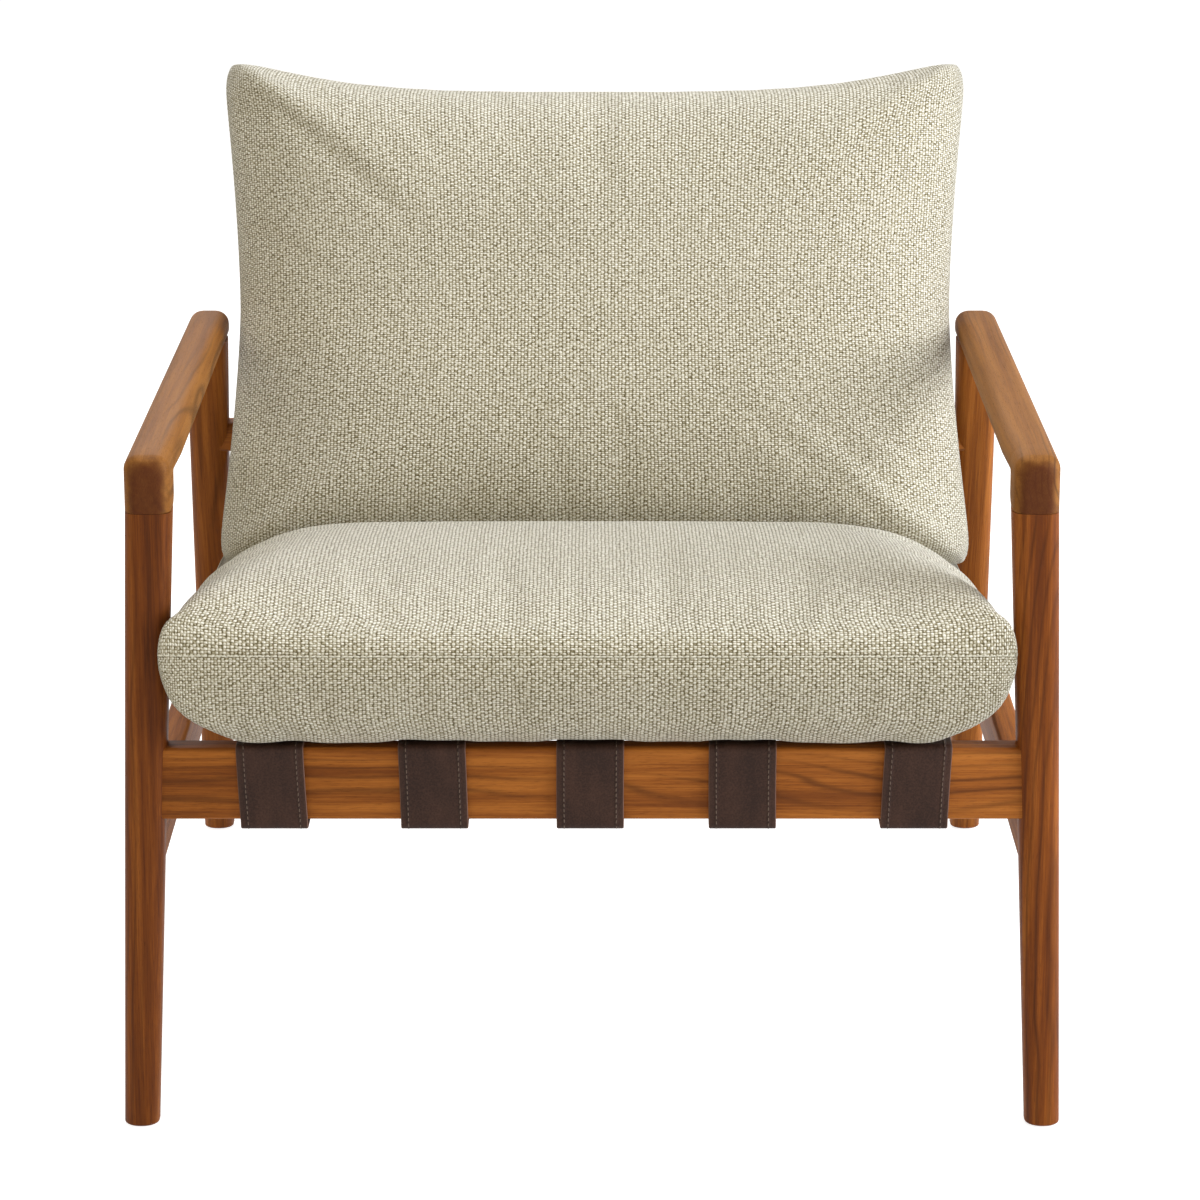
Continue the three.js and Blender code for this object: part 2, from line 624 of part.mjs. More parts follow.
// A dowel stands in a hole that is bored in both of the pieces that it holds
function addDowel(name, middle, shift, holds) {
  const start = middle.clone().addScaledVector(Z_AXIS, shift - DOWEL_LENGTH / 2);
  addPart(name, 'dowel', solidOf(pin(start, Z_AXIS, DOWEL_LENGTH, DOWEL_RADIUS, DOWEL_SIDES)));
  start.z -= FIT;
  const bore = pin(start, Z_AXIS, DOWEL_LENGTH + 2 * FIT, DOWEL_RADIUS + BORE_CLEARANCE, DOWEL_SIDES);
  const hole = solidOf(bore);
  holds.forEach((node) => cut(node, hole));
}

function addJoints() {
  const at = (x, y, z) => new THREE.Vector3(x, y, z);
  const armShift = ARM_DOWEL_IN_ARM - DOWEL_LENGTH / 2;
  const railTenon = at(2 * TENON_LENGTH, TENON_THICKNESS, SIDE_RAIL_HEIGHT - 2 * TENON_SHOULDER);
  Object.entries(SIDES).forEach(([word, side]) => {
    const leg = (end) => `${word}_${end}_leg`;
    const kneeMiddle = at(side * frameX(kneeZ), frontLegY(kneeZ), kneeZ);
    addDowel(`${word}_front_arm_dowel`, kneeMiddle, 0, [leg('front'), `${word}_arm`]);
    const backMiddle = at(side * frameX(armUnder), backLegY(armUnder), armUnder);
    addDowel(`${word}_back_arm_dowel`, backMiddle, armShift, [leg('back'), `${word}_arm`]);

    const frontX = frameX(frontRailZ) - legWidth(frontRailZ, kneeZ) / 2;
    const frontTenon = at(2 * TENON_LENGTH, TENON_THICKNESS, FRONT_RAIL_HEIGHT - 2 * TENON_SHOULDER);
    addTenon('front_rail', leg('front'), frontTenon, at(side * frontX, frontRailY, frontRailZ));

    const sideTenon = at(TENON_THICKNESS, 2 * TENON_LENGTH, SIDE_RAIL_HEIGHT - 2 * TENON_SHOULDER);
    const sideFront = at(side * sideRailX, frontLegDepth(sideRailZ), sideRailZ);
    addTenon(`${word}_side_rail`, leg('front'), sideTenon, sideFront);
    const sideBack = at(side * sideRailX, backLegY(sideRailZ) - backLegDepth(sideRailZ) / 2, sideRailZ);
    addTenon(`${word}_side_rail`, leg('back'), sideTenon, sideBack);

    const rearX = sideRailX - SIDE_RAIL_THICKNESS / 2;
    addTenon('rear_seat_rail', `${word}_side_rail`, railTenon, at(side * rearX, rearRailY, sideRailZ));

    const crossX = frameX(crossRailZ) - legWidth(crossRailZ, armUnder) / 2;
    const crossTenon = at(2 * TENON_LENGTH, TENON_THICKNESS, TENON_THICKNESS);
    addTenon('back_cross_rail', leg('back'), crossTenon, at(side * crossX, crossRailY, crossRailZ));

    const postTenon = at(POST_WIDTH - 2 * TENON_SHOULDER, TENON_THICKNESS, 2 * TENON_LENGTH);
    addTenon(`${word}_back_post`, 'rear_seat_rail', postTenon, at(side * postX, rearRailY, SIDE_RAIL_TOP));
  });
}

// Foot glides: a disc under each foot, with a pin in the leg
function addGlides() {
  Object.entries(SIDES).forEach(([word, side]) => {
    [['front', frontLegY], ['back', backLegY]].forEach(([end, centreY]) => {
      const foot = new THREE.Vector3(side * frameX(0), centreY(0), 0);
      const disc = solidOf(pin(foot, Z_AXIS, GLIDE_THICKNESS, GLIDE_RADIUS, GLIDE_SIDES));
      const length = GLIDE_THICKNESS + GLIDE_PIN_LENGTH;
      const shank = solidOf(pin(foot, Z_AXIS, length, GLIDE_PIN_RADIUS, DOWEL_SIDES));
      addPart(`${word}_${end}_glide`, 'glide', disc.add(shank));
      const hole = pin(foot, Z_AXIS, length + FIT, GLIDE_PIN_RADIUS + BORE_CLEARANCE, DOWEL_SIDES);
      cut(`${word}_${end}_leg`, solidOf(hole));
    });
  });
}

// A cushion is a crowned form over a seam line. across and along run from -1 to 1 over the seam's outline.
const seatForm = {
  grid: SEAT_GRID,
  power: SEAT_POWER,
  corner: SEAT_CORNER_SHARE,
  halfLength: SEAT_LENGTH / 2,
  above: SEAT_ABOVE_SEAM,
  below: SEAT_BELOW_SEAM,
  crown: SEAT_CROWN,
  halfWidth(along) {
    const flare = THREE.MathUtils.smoothstep(-along, FLARE_START_SHARE, FLARE_START_SHARE + FLARE_RUN_SHARE);
    return SEAT_WIDTH / 2 - SEAT_SIDE_DRAW * (1 - along * along) + SEAT_FRONT_FLARE * flare;
  },
  endDraw: (along) => (along < 0 ? SEAT_FRONT_DRAW : 0),
};

const backForm = {
  grid: BACK_GRID,
  power: BACK_POWER,
  corner: BACK_CORNER_SHARE,
  halfLength: BACK_HEIGHT / 2,
  above: BACK_FRONT_DEPTH,
  below: BACK_REAR_DEPTH,
  crown: BACK_CROWN,
  halfWidth(along) {
    const width = SEAT_WIDTH + (BACK_TOP_FLARE * (along + 1)) / 2;
    return width / 2 - BACK_SIDE_DRAW * (1 - along * along);
  },
  endDraw: (along) => (along < 0 ? BACK_BOTTOM_DRAW : BACK_TOP_DRAW),
};

// inset is how far inside the outer skin the point lies
function cushionPoint(form, across, along, face, inset) {
  const roundX = 1 - form.corner * Math.abs(along) ** CORNER_POWER;
  const roundY = 1 - form.corner * Math.abs(across) ** CORNER_POWER;
  const halfWidth = form.halfWidth(along) - inset;
  const draw = Math.sign(along) * form.endDraw(along) * (1 - across * across) * Math.abs(along);
  const fullX = Math.sqrt(Math.max(0, 1 - Math.abs(across) ** form.power[0]));
  const fullY = Math.sqrt(Math.max(0, 1 - Math.abs(along) ** form.power[1]));
  const depth = (face > 0 ? form.above : form.below) - inset;
  const crown = face > 0 ? form.crown * (1 - across * across) * (1 - along * along) : 0;
  return new THREE.Vector3(
    across * halfWidth * roundX,
    along * (form.halfLength - inset) * roundY - draw,
    face * (depth * fullX * fullY + crown),
  );
}

// Grid lines crowd towards the seam, where the form turns fastest
const gridShare = (i, count) => Math.sin((Math.PI / 2) * (2 * (i / count) - 1));

function cushionSolid(form, place, inset) {
  const [columns, rows] = form.grid;
  const sheet = (face) => {
    const node = (column, row) => (
      cushionPoint(form, gridShare(column, columns), gridShare(row, rows), face, inset));
    const corners = [];
    for (let row = 0; row < rows; row += 1) {
      for (let column = 0; column < columns; column += 1) {
        const a = node(column, row);
        const b = node(column + 1, row);
        const c = node(column + 1, row + 1);
        const d = node(column, row + 1);
        corners.push(...(face > 0 ? [a, b, c, a, c, d] : [a, c, b, a, d, c]));
      }
    }
    return corners;
  };
  const geometry = new THREE.BufferGeometry().setFromPoints([...sheet(1), ...sheet(-1)]);
  return solidOf(geometry.applyMatrix4(place));
}

// The seat cushion's underside lies on the straps, and its seam plane is parallel to them
const strapTopFront = frontRail.top + FIT + STRAP_THICKNESS;
const strapTopRear = rearRail.top + FIT + STRAP_THICKNESS;
const seatSlope = Math.atan((strapTopFront - strapTopRear) / (rearRail.front - frontRail.back));
const seatAlong = new THREE.Vector3(0, Math.cos(seatSlope), -Math.sin(seatSlope));
const seatUp = new THREE.Vector3(0, Math.sin(seatSlope), Math.cos(seatSlope));
const seatCentreY = SEAT_LENGTH / 2 - SEAT_FRONT_OVERHANG;
const seatStrapZ = strapTopFront - Math.tan(seatSlope) * (seatCentreY - frontRail.back);
const seatCentre = new THREE.Vector3(0, seatCentreY, seatStrapZ)
  .addScaledVector(seatUp, SEAT_BELOW_SEAM + FIT);
const seatPlace = new THREE.Matrix4().makeBasis(X_AXIS, seatAlong, seatUp).setPosition(seatCentre);

// The back cushion leans on the back straps, and its front is the far side from them
const backFront = leanBack.clone().negate();
const backStrapFront = topRailPoint(-backStrapStand - STRAP_THICKNESS / 2 - FIT, 0);
const backCentreZ = backBottomZ + (BACK_HEIGHT / 2) * leanUp.z;
const backRearY = backStrapFront.x + rake * (backCentreZ - backStrapFront.y);
const backCentre = new THREE.Vector3(0, backRearY - BACK_REAR_DEPTH / Math.cos(rakeAngle), backCentreZ);
const backPlace = new THREE.Matrix4().makeBasis(X_AXIS, leanUp, backFront).setPosition(backCentre);

// A zip lies on a grid line of the cover, over a slit in the wall. Both follow the faceted skin.
function zipStrip(form, place, face, row, inside, outside, width, reach = 1) {
  const [columns, rows] = form.grid;
  const along = gridShare(row, rows);
  const point = (column) => cushionPoint(form, gridShare(column, columns), along, face, 0);
  const isSeam = row === rows;
  const next = cushionPoint(form, 0, gridShare(row + 1, rows), face, 0);
  const before = cushionPoint(form, 0, gridShare(row - 1, rows), face, 0);
  const upwards = isSeam ? Z_AXIS.clone().negate() : next.sub(before).normalize();
  const outwards = new THREE.Vector3().crossVectors(X_AXIS, upwards).multiplyScalar(isSeam ? 1 : face);
  const stations = [];
  for (let column = ZIP_MARGIN_COLUMNS; column <= columns - ZIP_MARGIN_COLUMNS; column += 1) {
    stations.push(point(column));
  }
  const kept = reach < 1 ? [stations[0], stations[0].clone().lerp(stations[1], reach)] : stations;
  const section = [[-1, inside], [1, inside], [1, outside], [-1, outside]];
  const rings = kept.map((station) => section.map(([way, off]) => (
    station.clone()
      .addScaledVector(upwards, (way * width) / 2)
      .addScaledVector(outwards, off)
      .applyMatrix4(place))));
  return solidOf(loft(rings));
}

function addZip(name, cover, form, place, face, row) {
  const top = FIT + ZIP_THICKNESS;
  const tape = zipStrip(form, place, face, row, FIT, top, ZIP_WIDTH);
  const pull = zipStrip(form, place, face, row, FIT, top + ZIP_THICKNESS, ZIP_PULL_WIDTH, ZIP_PULL_SHARE);
  addPart(name, 'zip', tape.add(pull));
  cut(cover, zipStrip(form, place, face, row, -2 * COVER_WALL, FIT, ZIP_SLIT));
}

// The back cushion rests on the seat cushion, so its solids are cut by the seat's, grown by the clearance
function addCushions() {
  const coreInset = COVER_WALL + CORE_EASE;
  const seat = (inset) => cushionSolid(seatForm, seatPlace, inset);
  const back = (inset) => cushionSolid(backForm, backPlace, inset).subtract(seat(-inset - FIT));
  addPart('seat_cushion_cover', 'fabric', seat(0).subtract(seat(COVER_WALL)));
  addPart('seat_cushion_core', 'foam', seat(coreInset));
  addZip('seat_cushion_zip', 'seat_cushion_cover', seatForm, seatPlace, 1, seatForm.grid[1]);
  addPart('back_cushion_cover', 'fabric', back(0).subtract(back(COVER_WALL)));
  addPart('back_cushion_core', 'foam', back(coreInset));
  addZip('back_cushion_zip', 'back_cushion_cover', backForm, backPlace, -1, BACK_ZIP_ROW);
}

addFrame();
addPosts();
addStraps();
addStrapScrews();
addPostScrews();
addJoints();
addGlides();
addCushions();

const chair = new THREE.Group();
parts.forEach(({ finish, solid }, name) => {
  const mesh = new THREE.Mesh(geometryOf(solid), finishes[finish].clone());
  mesh.name = name;
  chair.add(mesh);
});

// The origin is on the floor under the middle of the chair
const reach = new THREE.Box3().setFromObject(chair);
const middle = reach.getCenter(new THREE.Vector3());
chair.position.set(-middle.x, -middle.y, -reach.min.z);

export default chair;
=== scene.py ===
import json
import math
import random

import bpy
import numpy as np
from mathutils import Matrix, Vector
from mathutils.bvhtree import BVHTree

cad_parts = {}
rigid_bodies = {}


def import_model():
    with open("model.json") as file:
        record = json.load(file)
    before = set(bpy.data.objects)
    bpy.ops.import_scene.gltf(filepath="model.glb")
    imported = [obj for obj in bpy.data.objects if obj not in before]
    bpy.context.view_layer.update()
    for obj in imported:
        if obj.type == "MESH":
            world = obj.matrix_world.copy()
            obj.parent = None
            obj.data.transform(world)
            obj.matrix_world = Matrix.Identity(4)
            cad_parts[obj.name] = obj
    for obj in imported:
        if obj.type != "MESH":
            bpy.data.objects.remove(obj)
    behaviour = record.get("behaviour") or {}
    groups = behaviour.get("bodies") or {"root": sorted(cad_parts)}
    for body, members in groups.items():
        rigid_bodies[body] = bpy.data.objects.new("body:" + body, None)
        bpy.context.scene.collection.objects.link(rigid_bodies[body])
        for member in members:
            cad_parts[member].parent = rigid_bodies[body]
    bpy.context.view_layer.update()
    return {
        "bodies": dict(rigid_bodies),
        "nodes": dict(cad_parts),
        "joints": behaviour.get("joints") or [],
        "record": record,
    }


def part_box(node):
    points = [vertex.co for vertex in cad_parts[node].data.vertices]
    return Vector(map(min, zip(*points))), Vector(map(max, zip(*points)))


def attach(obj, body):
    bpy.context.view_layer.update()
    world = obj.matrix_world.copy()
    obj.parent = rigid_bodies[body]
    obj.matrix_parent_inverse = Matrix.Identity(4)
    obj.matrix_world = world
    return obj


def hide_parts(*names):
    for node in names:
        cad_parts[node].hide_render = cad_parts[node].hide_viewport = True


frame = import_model()

# Metres, +Z up. The sitter faces -Y, and left and right are as seen by someone facing the chair.
MM = 0.001
X = Vector((1, 0, 0))
Y = Vector((0, 1, 0))
SIDES = ("left", "right")
RAKE = math.radians(22.5)
LEAN_UP = Vector((0, math.sin(RAKE), math.cos(RAKE)))
LEAN_BACK = Vector((0, math.cos(RAKE), -math.sin(RAKE)))

# Camera, where the photo was taken from
CAMERA_PLACE = (0.0, -3.4888, 1.3394)
CAMERA_PITCH_DEG = 16.042
CAMERA_LENS = 125.93
CAMERA_SHIFT_X = 8 / 1200

# Wood
CORNER_STEPS = 7
# radians per metre from the pith: the growth rings lie 4.8 mm apart
RING_TURN = 1300.0
PITH_ACROSS = 55 * MM
PITH_DEEP = 30 * MM
PLANK_SPREAD = 12 * MM
END_GRAIN = (0.074, 0.0148, 0.0026)
LEG_FOOT_WIDTH = 28 * MM
LEG_TOP_WIDTH = 36 * MM
LEG_CORNER_FOOT = 11.5 * MM
LEG_CORNER_TOP = 10.5 * MM
LEG_STATIONS = 8
FOOT_EASE = 2.0 * MM
FOOT_DROP = 2.0 * MM
ARM_THICKNESS = 26.5 * MM
ARM_EDGE = 11.3 * MM
ARM_END_ROUND = 17 * MM
ARM_TOE = {"left": 3 * MM, "right": 1 * MM}
KNUCKLE_DEPTH = 37 * MM
KNUCKLE_CORNER = 10.5 * MM
KNUCKLE_FILLET = 7 * MM
KNUCKLE_SLIM = 2 * MM
KNUCKLE_BLEND = 30 * MM
KNUCKLE_LOW_CORNER = 0.7 * MM
RAIL_EDGE = 3.5 * MM
RAIL_END_EASE = 1.5 * MM
POST_DEPTH = 25 * MM
TOP_RAIL_SIZE = (24 * MM, 44 * MM)

# Straps
STRAP_WIDTH = 53 * MM
STRAP_THICKNESS = 3 * MM
STRAP_STAND = 0.3 * MM
STRAP_EDGE = 1.3 * MM
STRAP_BEND = 5.2 * MM
STRAP_LAP = 34 * MM
STRAP_SLACK = 4.5 * MM
BACK_STRAP_LAP = 22.6 * MM
STRAP_STEP = 7 * MM
STRAP_SAG = 2.6 * MM
STRAP_SWAY = 0.35 * MM
STITCH_ROW = STRAP_WIDTH / 2 - 6 * MM
STITCH_START = 5 * MM
STITCH_SUNK = 0.1 * MM
STITCH_PITCH = 4.4 * MM
STITCH_LENGTH = 3.1 * MM
STITCH_WIDTH = 0.8 * MM
STITCH_PROUD = 0.35 * MM
SEAT_STRAPS = [f"seat_strap_{i}" for i in range(1, 6)]
SEAT_STRAP_SLANT = [2.5 * MM, 2.5 * MM, 0.5 * MM, 0.5 * MM, -3 * MM]
BACK_STRAPS = [f"back_strap_{i}" for i in range(1, 5)]

# Screws
HEAD_RADIUS = 6 * MM
HEAD_HEIGHT = 2.3 * MM
HEAD_RIM = 0.7 * MM
HEAD_SUNK = 2.5 * MM
SHANK_RADIUS = 2 * MM
SLOT_WIDTH = 1.1 * MM
SLOT_DEPTH = 1.0 * MM

# Cushions
CLOTH_STEP = 6.5 * MM
SKIN_SAMPLES = 6001
CLOTH_FRAMES = 20
SMOOTHING_ROUNDS = 60
SEAM_HOLD = 6 * MM
SEAM_FADE = 40 * MM
FULLNESS = 4
SEAM_LIP = 1.3 * MM
SEAM_DEPTH = 1.5 * MM
SEAM_STITCH = 4.2 * MM
SEAM_PITCH = 4.9 * MM
SEAM_THREAD_RADIUS = 0.6 * MM
ZIP_WIDTH = 18 * MM
ZIP_PITCH = 2.2 * MM
ZIP_PROUD = 1.0 * MM
SEAT_SLOPE = math.radians(6.998)
SEAT_FLOOR = -73.2 * MM
SEAT_SIDES_END = -50 * MM
SEAT_REAR_SINK = 20 * MM
SEAT_CORNER_SINK = 32 * MM
BACK_FOOT_TOP = 460 * MM
FOOT_GIVE = 3 * MM
CUSHION_GAP = 0.6 * MM
BACK_GAP = 0.4 * MM
WARP_PITCH = 2.97 * MM
WEFT_PITCH = 1.93 * MM


class Field:
    """A value or colour that changes over a finish. Each operator adds its Math node."""

    def __init__(self, finish, socket):
        self.finish = finish
        self.socket = socket

    def maths(self, operation, *values):
        return self.finish.node("Math", dict(enumerate(values)), operation=operation)

    def __add__(self, other):
        return self.maths("ADD", self, other)

    __radd__ = __add__

    def __sub__(self, other):
        return self.maths("SUBTRACT", self, other)

    def __rsub__(self, other):
        return self.maths("SUBTRACT", other, self)

    def __mul__(self, other):
        return self.maths("MULTIPLY", self, other)

    def __truediv__(self, other):
        return self.maths("DIVIDE", self, other)

    def __pow__(self, other):
        return self.maths("POWER", self, other)

    def sine(self):
        return self.maths("SINE", self)

    def size(self):
        return self.maths("ABSOLUTE", self)

    def rise(self, start, end):
        """0 below start, 1 above end, and a straight slope between them."""
        slope = (self - start) / (end - start)
        return self.maths("MINIMUM", self.maths("MAXIMUM", slope, 0.0), 1.0)


class Finish:
    """A material that is built up from nodes."""

    def __init__(self, name, world=False):
        self.material = (bpy.data.worlds if world else bpy.data.materials).new(name)
        self.material.use_nodes = True
        self.tree = self.material.node_tree
        self.tree.nodes.clear()

    def node(self, kind, sockets, output=0, **settings):
        made = self.tree.nodes.new("ShaderNode" + kind)
        for name, value in settings.items():
            if name == "stops":
                self.set_stops(made.color_ramp, value)
            else:
                setattr(made, name, value)
        for name, value in sockets.items():
            socket = made.inputs[name]
            if isinstance(value, Field):
                self.tree.links.new(value.socket, socket)
            elif socket.type == "RGBA":
                socket.default_value = (*value, 1.0)
            else:
                socket.default_value = value
        return Field(self, made.outputs[output]) if made.outputs else made

    @staticmethod
    def set_stops(ramp, stops):
        while len(ramp.elements) < len(stops):
            ramp.elements.new(1.0)
        for element, (place, colour) in zip(ramp.elements, stops):
            element.position = place
            element.color = (*colour, 1.0)

    def noise(self, where, scale, detail=2.0, roughness=0.5):
        sockets = {"Vector": where, "Scale": scale, "Detail": detail, "Roughness": roughness}
        return self.node("TexNoise", sockets)

    def drawn_out(self, where, rates, detail=2.0, roughness=0.5):
        place = self.node("VectorMath", {0: where, 1: rates}, operation="MULTIPLY")
        return self.noise(place, 1.0, detail, roughness)

    def parts_of(self, where):
        split = self.node("SeparateXYZ", {0: where})
        outputs = split.socket.node.outputs
        return [Field(self, outputs[axis]) for axis in "XYZ"]

    def vector(self, x, y, z):
        return self.node("CombineXYZ", {0: x, 1: y, 2: z})

    def mix(self, factor, first, second):
        return self.node("Mix", {0: factor, 6: first, 7: second}, 2, data_type="RGBA")

    def ramp(self, factor, stops):
        return self.node("ValToRGB", {0: factor}, stops=stops)

    def bump(self, height, distance, strength=1.0):
        return self.node("Bump", {"Height": height, "Distance": distance, "Strength": strength})

    def lay(self):
        """Where a point lies in its piece: along it, across it and into it, in metres."""
        return self.node("Attribute", {}, 1, attribute_name="lay")

    def done(self, **sockets):
        words = {name.replace("_", " "): value for name, value in sockets.items()}
        shader = self.node("BsdfPrincipled", words)
        self.node("OutputMaterial", {"Surface": shader})
        return self.material


def oiled_teak(name, dark, middle, light, grain_end=0.0):
    """Growth rings round a pith beside the piece, so long faces are streaked and ends show arcs."""
    finish = Finish(name)
    lay = finish.lay()
    along, across, deep = finish.parts_of(lay)
    drift = finish.drawn_out(lay, (2.6, 9.0, 9.0))
    wobble = finish.drawn_out(lay, (16.0, 120.0, 120.0))
    off_pith = finish.vector(across - PITH_ACROSS, deep + PITH_DEEP, along * 0.02)
    radius = finish.node("VectorMath", {0: off_pith}, 1, operation="LENGTH")
    rings = (radius + drift * 0.03 + wobble * 0.0016) * RING_TURN
    ring = ((rings.sine() + 1.0) * 0.5) ** 5.0
    patch = finish.drawn_out(lay, (3.0, 30.0, 30.0), 1.0)
    line = ring * patch.rise(0.42, 0.66)
    fibre = finish.drawn_out(lay, (18.0, 1100.0, 1100.0), 3.0, 0.6)
    streak = finish.drawn_out(lay, (4.0, 150.0, 150.0), 3.0)
    broad = finish.drawn_out(lay, (2.5, 45.0, 45.0), 1.0)
    pore = finish.drawn_out(lay, (120.0, 2600.0, 2600.0), 1.0).rise(0.6, 0.72)
    shade = streak * 0.4 + fibre * 0.3 + broad * 0.3
    tone = finish.ramp(shade, [(0.4, dark), (0.5, middle), (0.6, light)])
    deepest = tuple(channel * 0.42 for channel in dark)
    lined = finish.mix(line * 0.7, tone, deepest)
    colour = finish.mix(pore * 0.4, lined, deepest)
    if grain_end:
        normal = finish.node("TexCoord", {}, "Normal")
        facing = finish.parts_of(normal)[1].size().rise(0.72, 0.97)
        spots = finish.drawn_out(lay, (400.0, 1500.0, 500.0))
        colour = finish.mix(facing * (grain_end + spots * 0.4), colour, END_GRAIN)
    return finish.done(
        Base_Color=colour,
        Roughness=0.46 + fibre * 0.16 + pore * 0.1,
        Normal=finish.bump(fibre * 0.5 - pore * 0.8 - line * 0.25, 0.00022, 0.6),
        Specular_IOR_Level=0.14,
    )


def strap_leather():
    """Dark brown leather: a fine pebble, a pressed line beside the stitches, paler cut edges."""
    finish = Finish("strap_leather")
    lay = finish.lay()
    along, across, _ = finish.parts_of(lay)
    off_middle = across.size()
    edge = off_middle.rise(0.0257, 0.0263)
    pressed = 1.0 - (off_middle - STITCH_ROW).size().rise(0.0002, 0.0016)
    rubbed = off_middle.rise(0.0225, 0.0262)
    pebble = finish.node("TexVoronoi", {"Vector": lay, "Scale": 780.0}, feature="SMOOTH_F1")
    fine = finish.noise(lay, 2300.0, 2.0)
    slow = finish.drawn_out(lay, (16.0, 40.0, 40.0), 3.0)
    tone = finish.ramp(slow * 0.7 + pebble * 0.3, [
        (0.36, (0.022, 0.0092, 0.006)),
        (0.64, (0.054, 0.0255, 0.0175)),
    ])
    worn = finish.mix(rubbed * 0.3, tone, (0.075, 0.037, 0.026))
    colour = finish.mix(edge * 0.85, worn, (0.2, 0.11, 0.08))
    creases = finish.drawn_out(lay, (150.0, 34.0, 34.0), 3.0)
    height = pebble * 0.6 + fine * 0.25 - pressed * 1.2 + creases * 0.9
    return finish.done(
        Base_Color=finish.mix(pressed * 0.3, colour, (0.012, 0.006, 0.004)),
        Roughness=0.42 + slow * 0.2 + edge * 0.2,
        Normal=finish.bump(height, 0.0006, 0.7),
        Specular_IOR_Level=0.16,
    )


def woven_fabric():
    """A chunky plain weave: pale blobs where the thick yarn lies on top, dark gaps beside them."""
    finish = Finish("oatmeal_weave")
    cloth = finish.node("UVMap", {}, uv_map="cloth")
    u, v, _ = finish.parts_of(cloth)

    def patches(per_u, per_v, seed, roughness=0.5):
        return finish.noise(finish.vector(u * per_u, v * per_v, seed), 1.0, 2.0, roughness)

    sway_u = patches(90.0, 60.0, 0.0)
    sway_v = patches(60.0, 90.0, 5.0)
    straight = u + sway_u * 0.0019
    across = (straight * (math.pi / WARP_PITCH)).sine()
    along = ((v + sway_v * 0.0017) * (math.pi / WEFT_PITCH)).sine()
    crossing = across * along
    weft = crossing.rise(0.0, 1.0) ** 0.6
    warp = (0.0 - crossing).rise(0.0, 1.0) ** 0.8
    pattern = weft * 0.95 + warp * 0.5 + across * across * 0.06
    pick = patches(300.0, 460.0, 3.0, 0.6)
    slub = patches(90.0, 520.0, 9.0)
    reed = patches(330.0, 160.0, 14.0)
    slow = patches(9.0, 9.0, 21.0)
    fuzz = patches(1500.0, 1500.0, 30.0)
    uneven = pick * 0.7 + slub * 0.23 + reed * 0.07 - 0.5
    shade = pattern * 0.95 + uneven * 2.4 + (slow - 0.5) * 0.12 + (fuzz - 0.5) * 0.5 + 0.08
    colour = finish.ramp(shade, [
        (0.0, (0.1, 0.078, 0.03)),
        (0.25, (0.28, 0.243, 0.142)),
        (0.5, (0.55, 0.512, 0.388)),
        (1.0, (0.88, 0.855, 0.77)),
    ])
    return finish.done(
        Base_Color=colour,
        Roughness=0.96 - pattern * 0.06,
        Normal=finish.bump(pattern + uneven * 0.6 + fuzz * 0.1, 0.0009, 0.8),
        Specular_IOR_Level=0.15,
        Sheen_Weight=0.4,
        Sheen_Roughness=0.5,
    )


def plain_finish(name, colour, roughness, metallic=0.0, speckle=0.3, scale=900.0):
    finish = Finish(name)
    place = finish.node("TexCoord", {}, "Object")
    grain = finish.noise(place, scale, 3.0)
    dark = tuple(channel * (1 - speckle) for channel in colour)
    return finish.done(
        Base_Color=finish.mix(grain, dark, colour),
        Roughness=roughness + (grain - 0.5) * 0.15,
        Normal=finish.bump(grain, 0.0002, 0.4),
        Metallic=metallic,
    )


TEAK = oiled_teak("oiled_teak", (0.18, 0.05, 0.007), (0.3, 0.092, 0.013), (0.42, 0.143, 0.023))
LEG_TEAK = oiled_teak(
    "oiled_teak_legs", (0.09, 0.021, 0.0025), (0.165, 0.043, 0.005), (0.26, 0.08, 0.012))
# Painted light: a paler copy of the leg teak for the right front leg, standing in for the stronger
# light that falls on it from the right
LIT_RIGHT_LEG_TEAK = oiled_teak(
    "oiled_teak_right_leg", (0.13, 0.031, 0.004), (0.225, 0.06, 0.007), (0.34, 0.108, 0.016))
ARM_TEAK = oiled_teak(
    "oiled_teak_arms", (0.17, 0.06, 0.01), (0.235, 0.09, 0.016), (0.3, 0.122, 0.025), grain_end=0.62)
LEATHER = strap_leather()
FABRIC = woven_fabric()
THREAD = plain_finish("strap_thread", (0.15, 0.1, 0.072), 0.8)
SEAM_THREAD = plain_finish("seam_thread", (0.8, 0.77, 0.64), 0.9)
BRASS = plain_finish("aged_brass", (0.42, 0.29, 0.11), 0.38, metallic=1.0)
NYLON = plain_finish("glide_nylon", (0.16, 0.075, 0.03), 0.55)
DOWEL = plain_finish("dowel_wood", (0.62, 0.42, 0.22), 0.7)
ZIP_TAPE = plain_finish("zip_tape", (0.5, 0.46, 0.34), 0.85, scale=1500.0)
ZIP_COIL = plain_finish("zip_coil", (0.36, 0.32, 0.21), 0.5, scale=1500.0)


def add_object(name, data):
    thing = bpy.data.objects.new(name, data)
    bpy.context.scene.collection.objects.link(thing)
    return thing


def make_piece(name, vertices, faces, material, body, stands_for=(), smooth_deg=40):
    mesh = bpy.data.meshes.new(name)
    mesh.from_pydata([tuple(v) for v in vertices], [], [tuple(f) for f in faces])
    mesh.update()
    mesh.shade_smooth()
    mesh.set_sharp_from_angle(angle=math.radians(smooth_deg))
    mesh.materials.append(material)
    piece = add_object(name, mesh)
    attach(piece, body)
    if stands_for:
        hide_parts(*stands_for)
    return piece


def set_lay(piece, values):
    attribute = piece.data.attributes.new("lay", "FLOAT_VECTOR", "POINT")
    attribute.data.foreach_set("vector", np.asarray(values, dtype=np.float32).ravel())


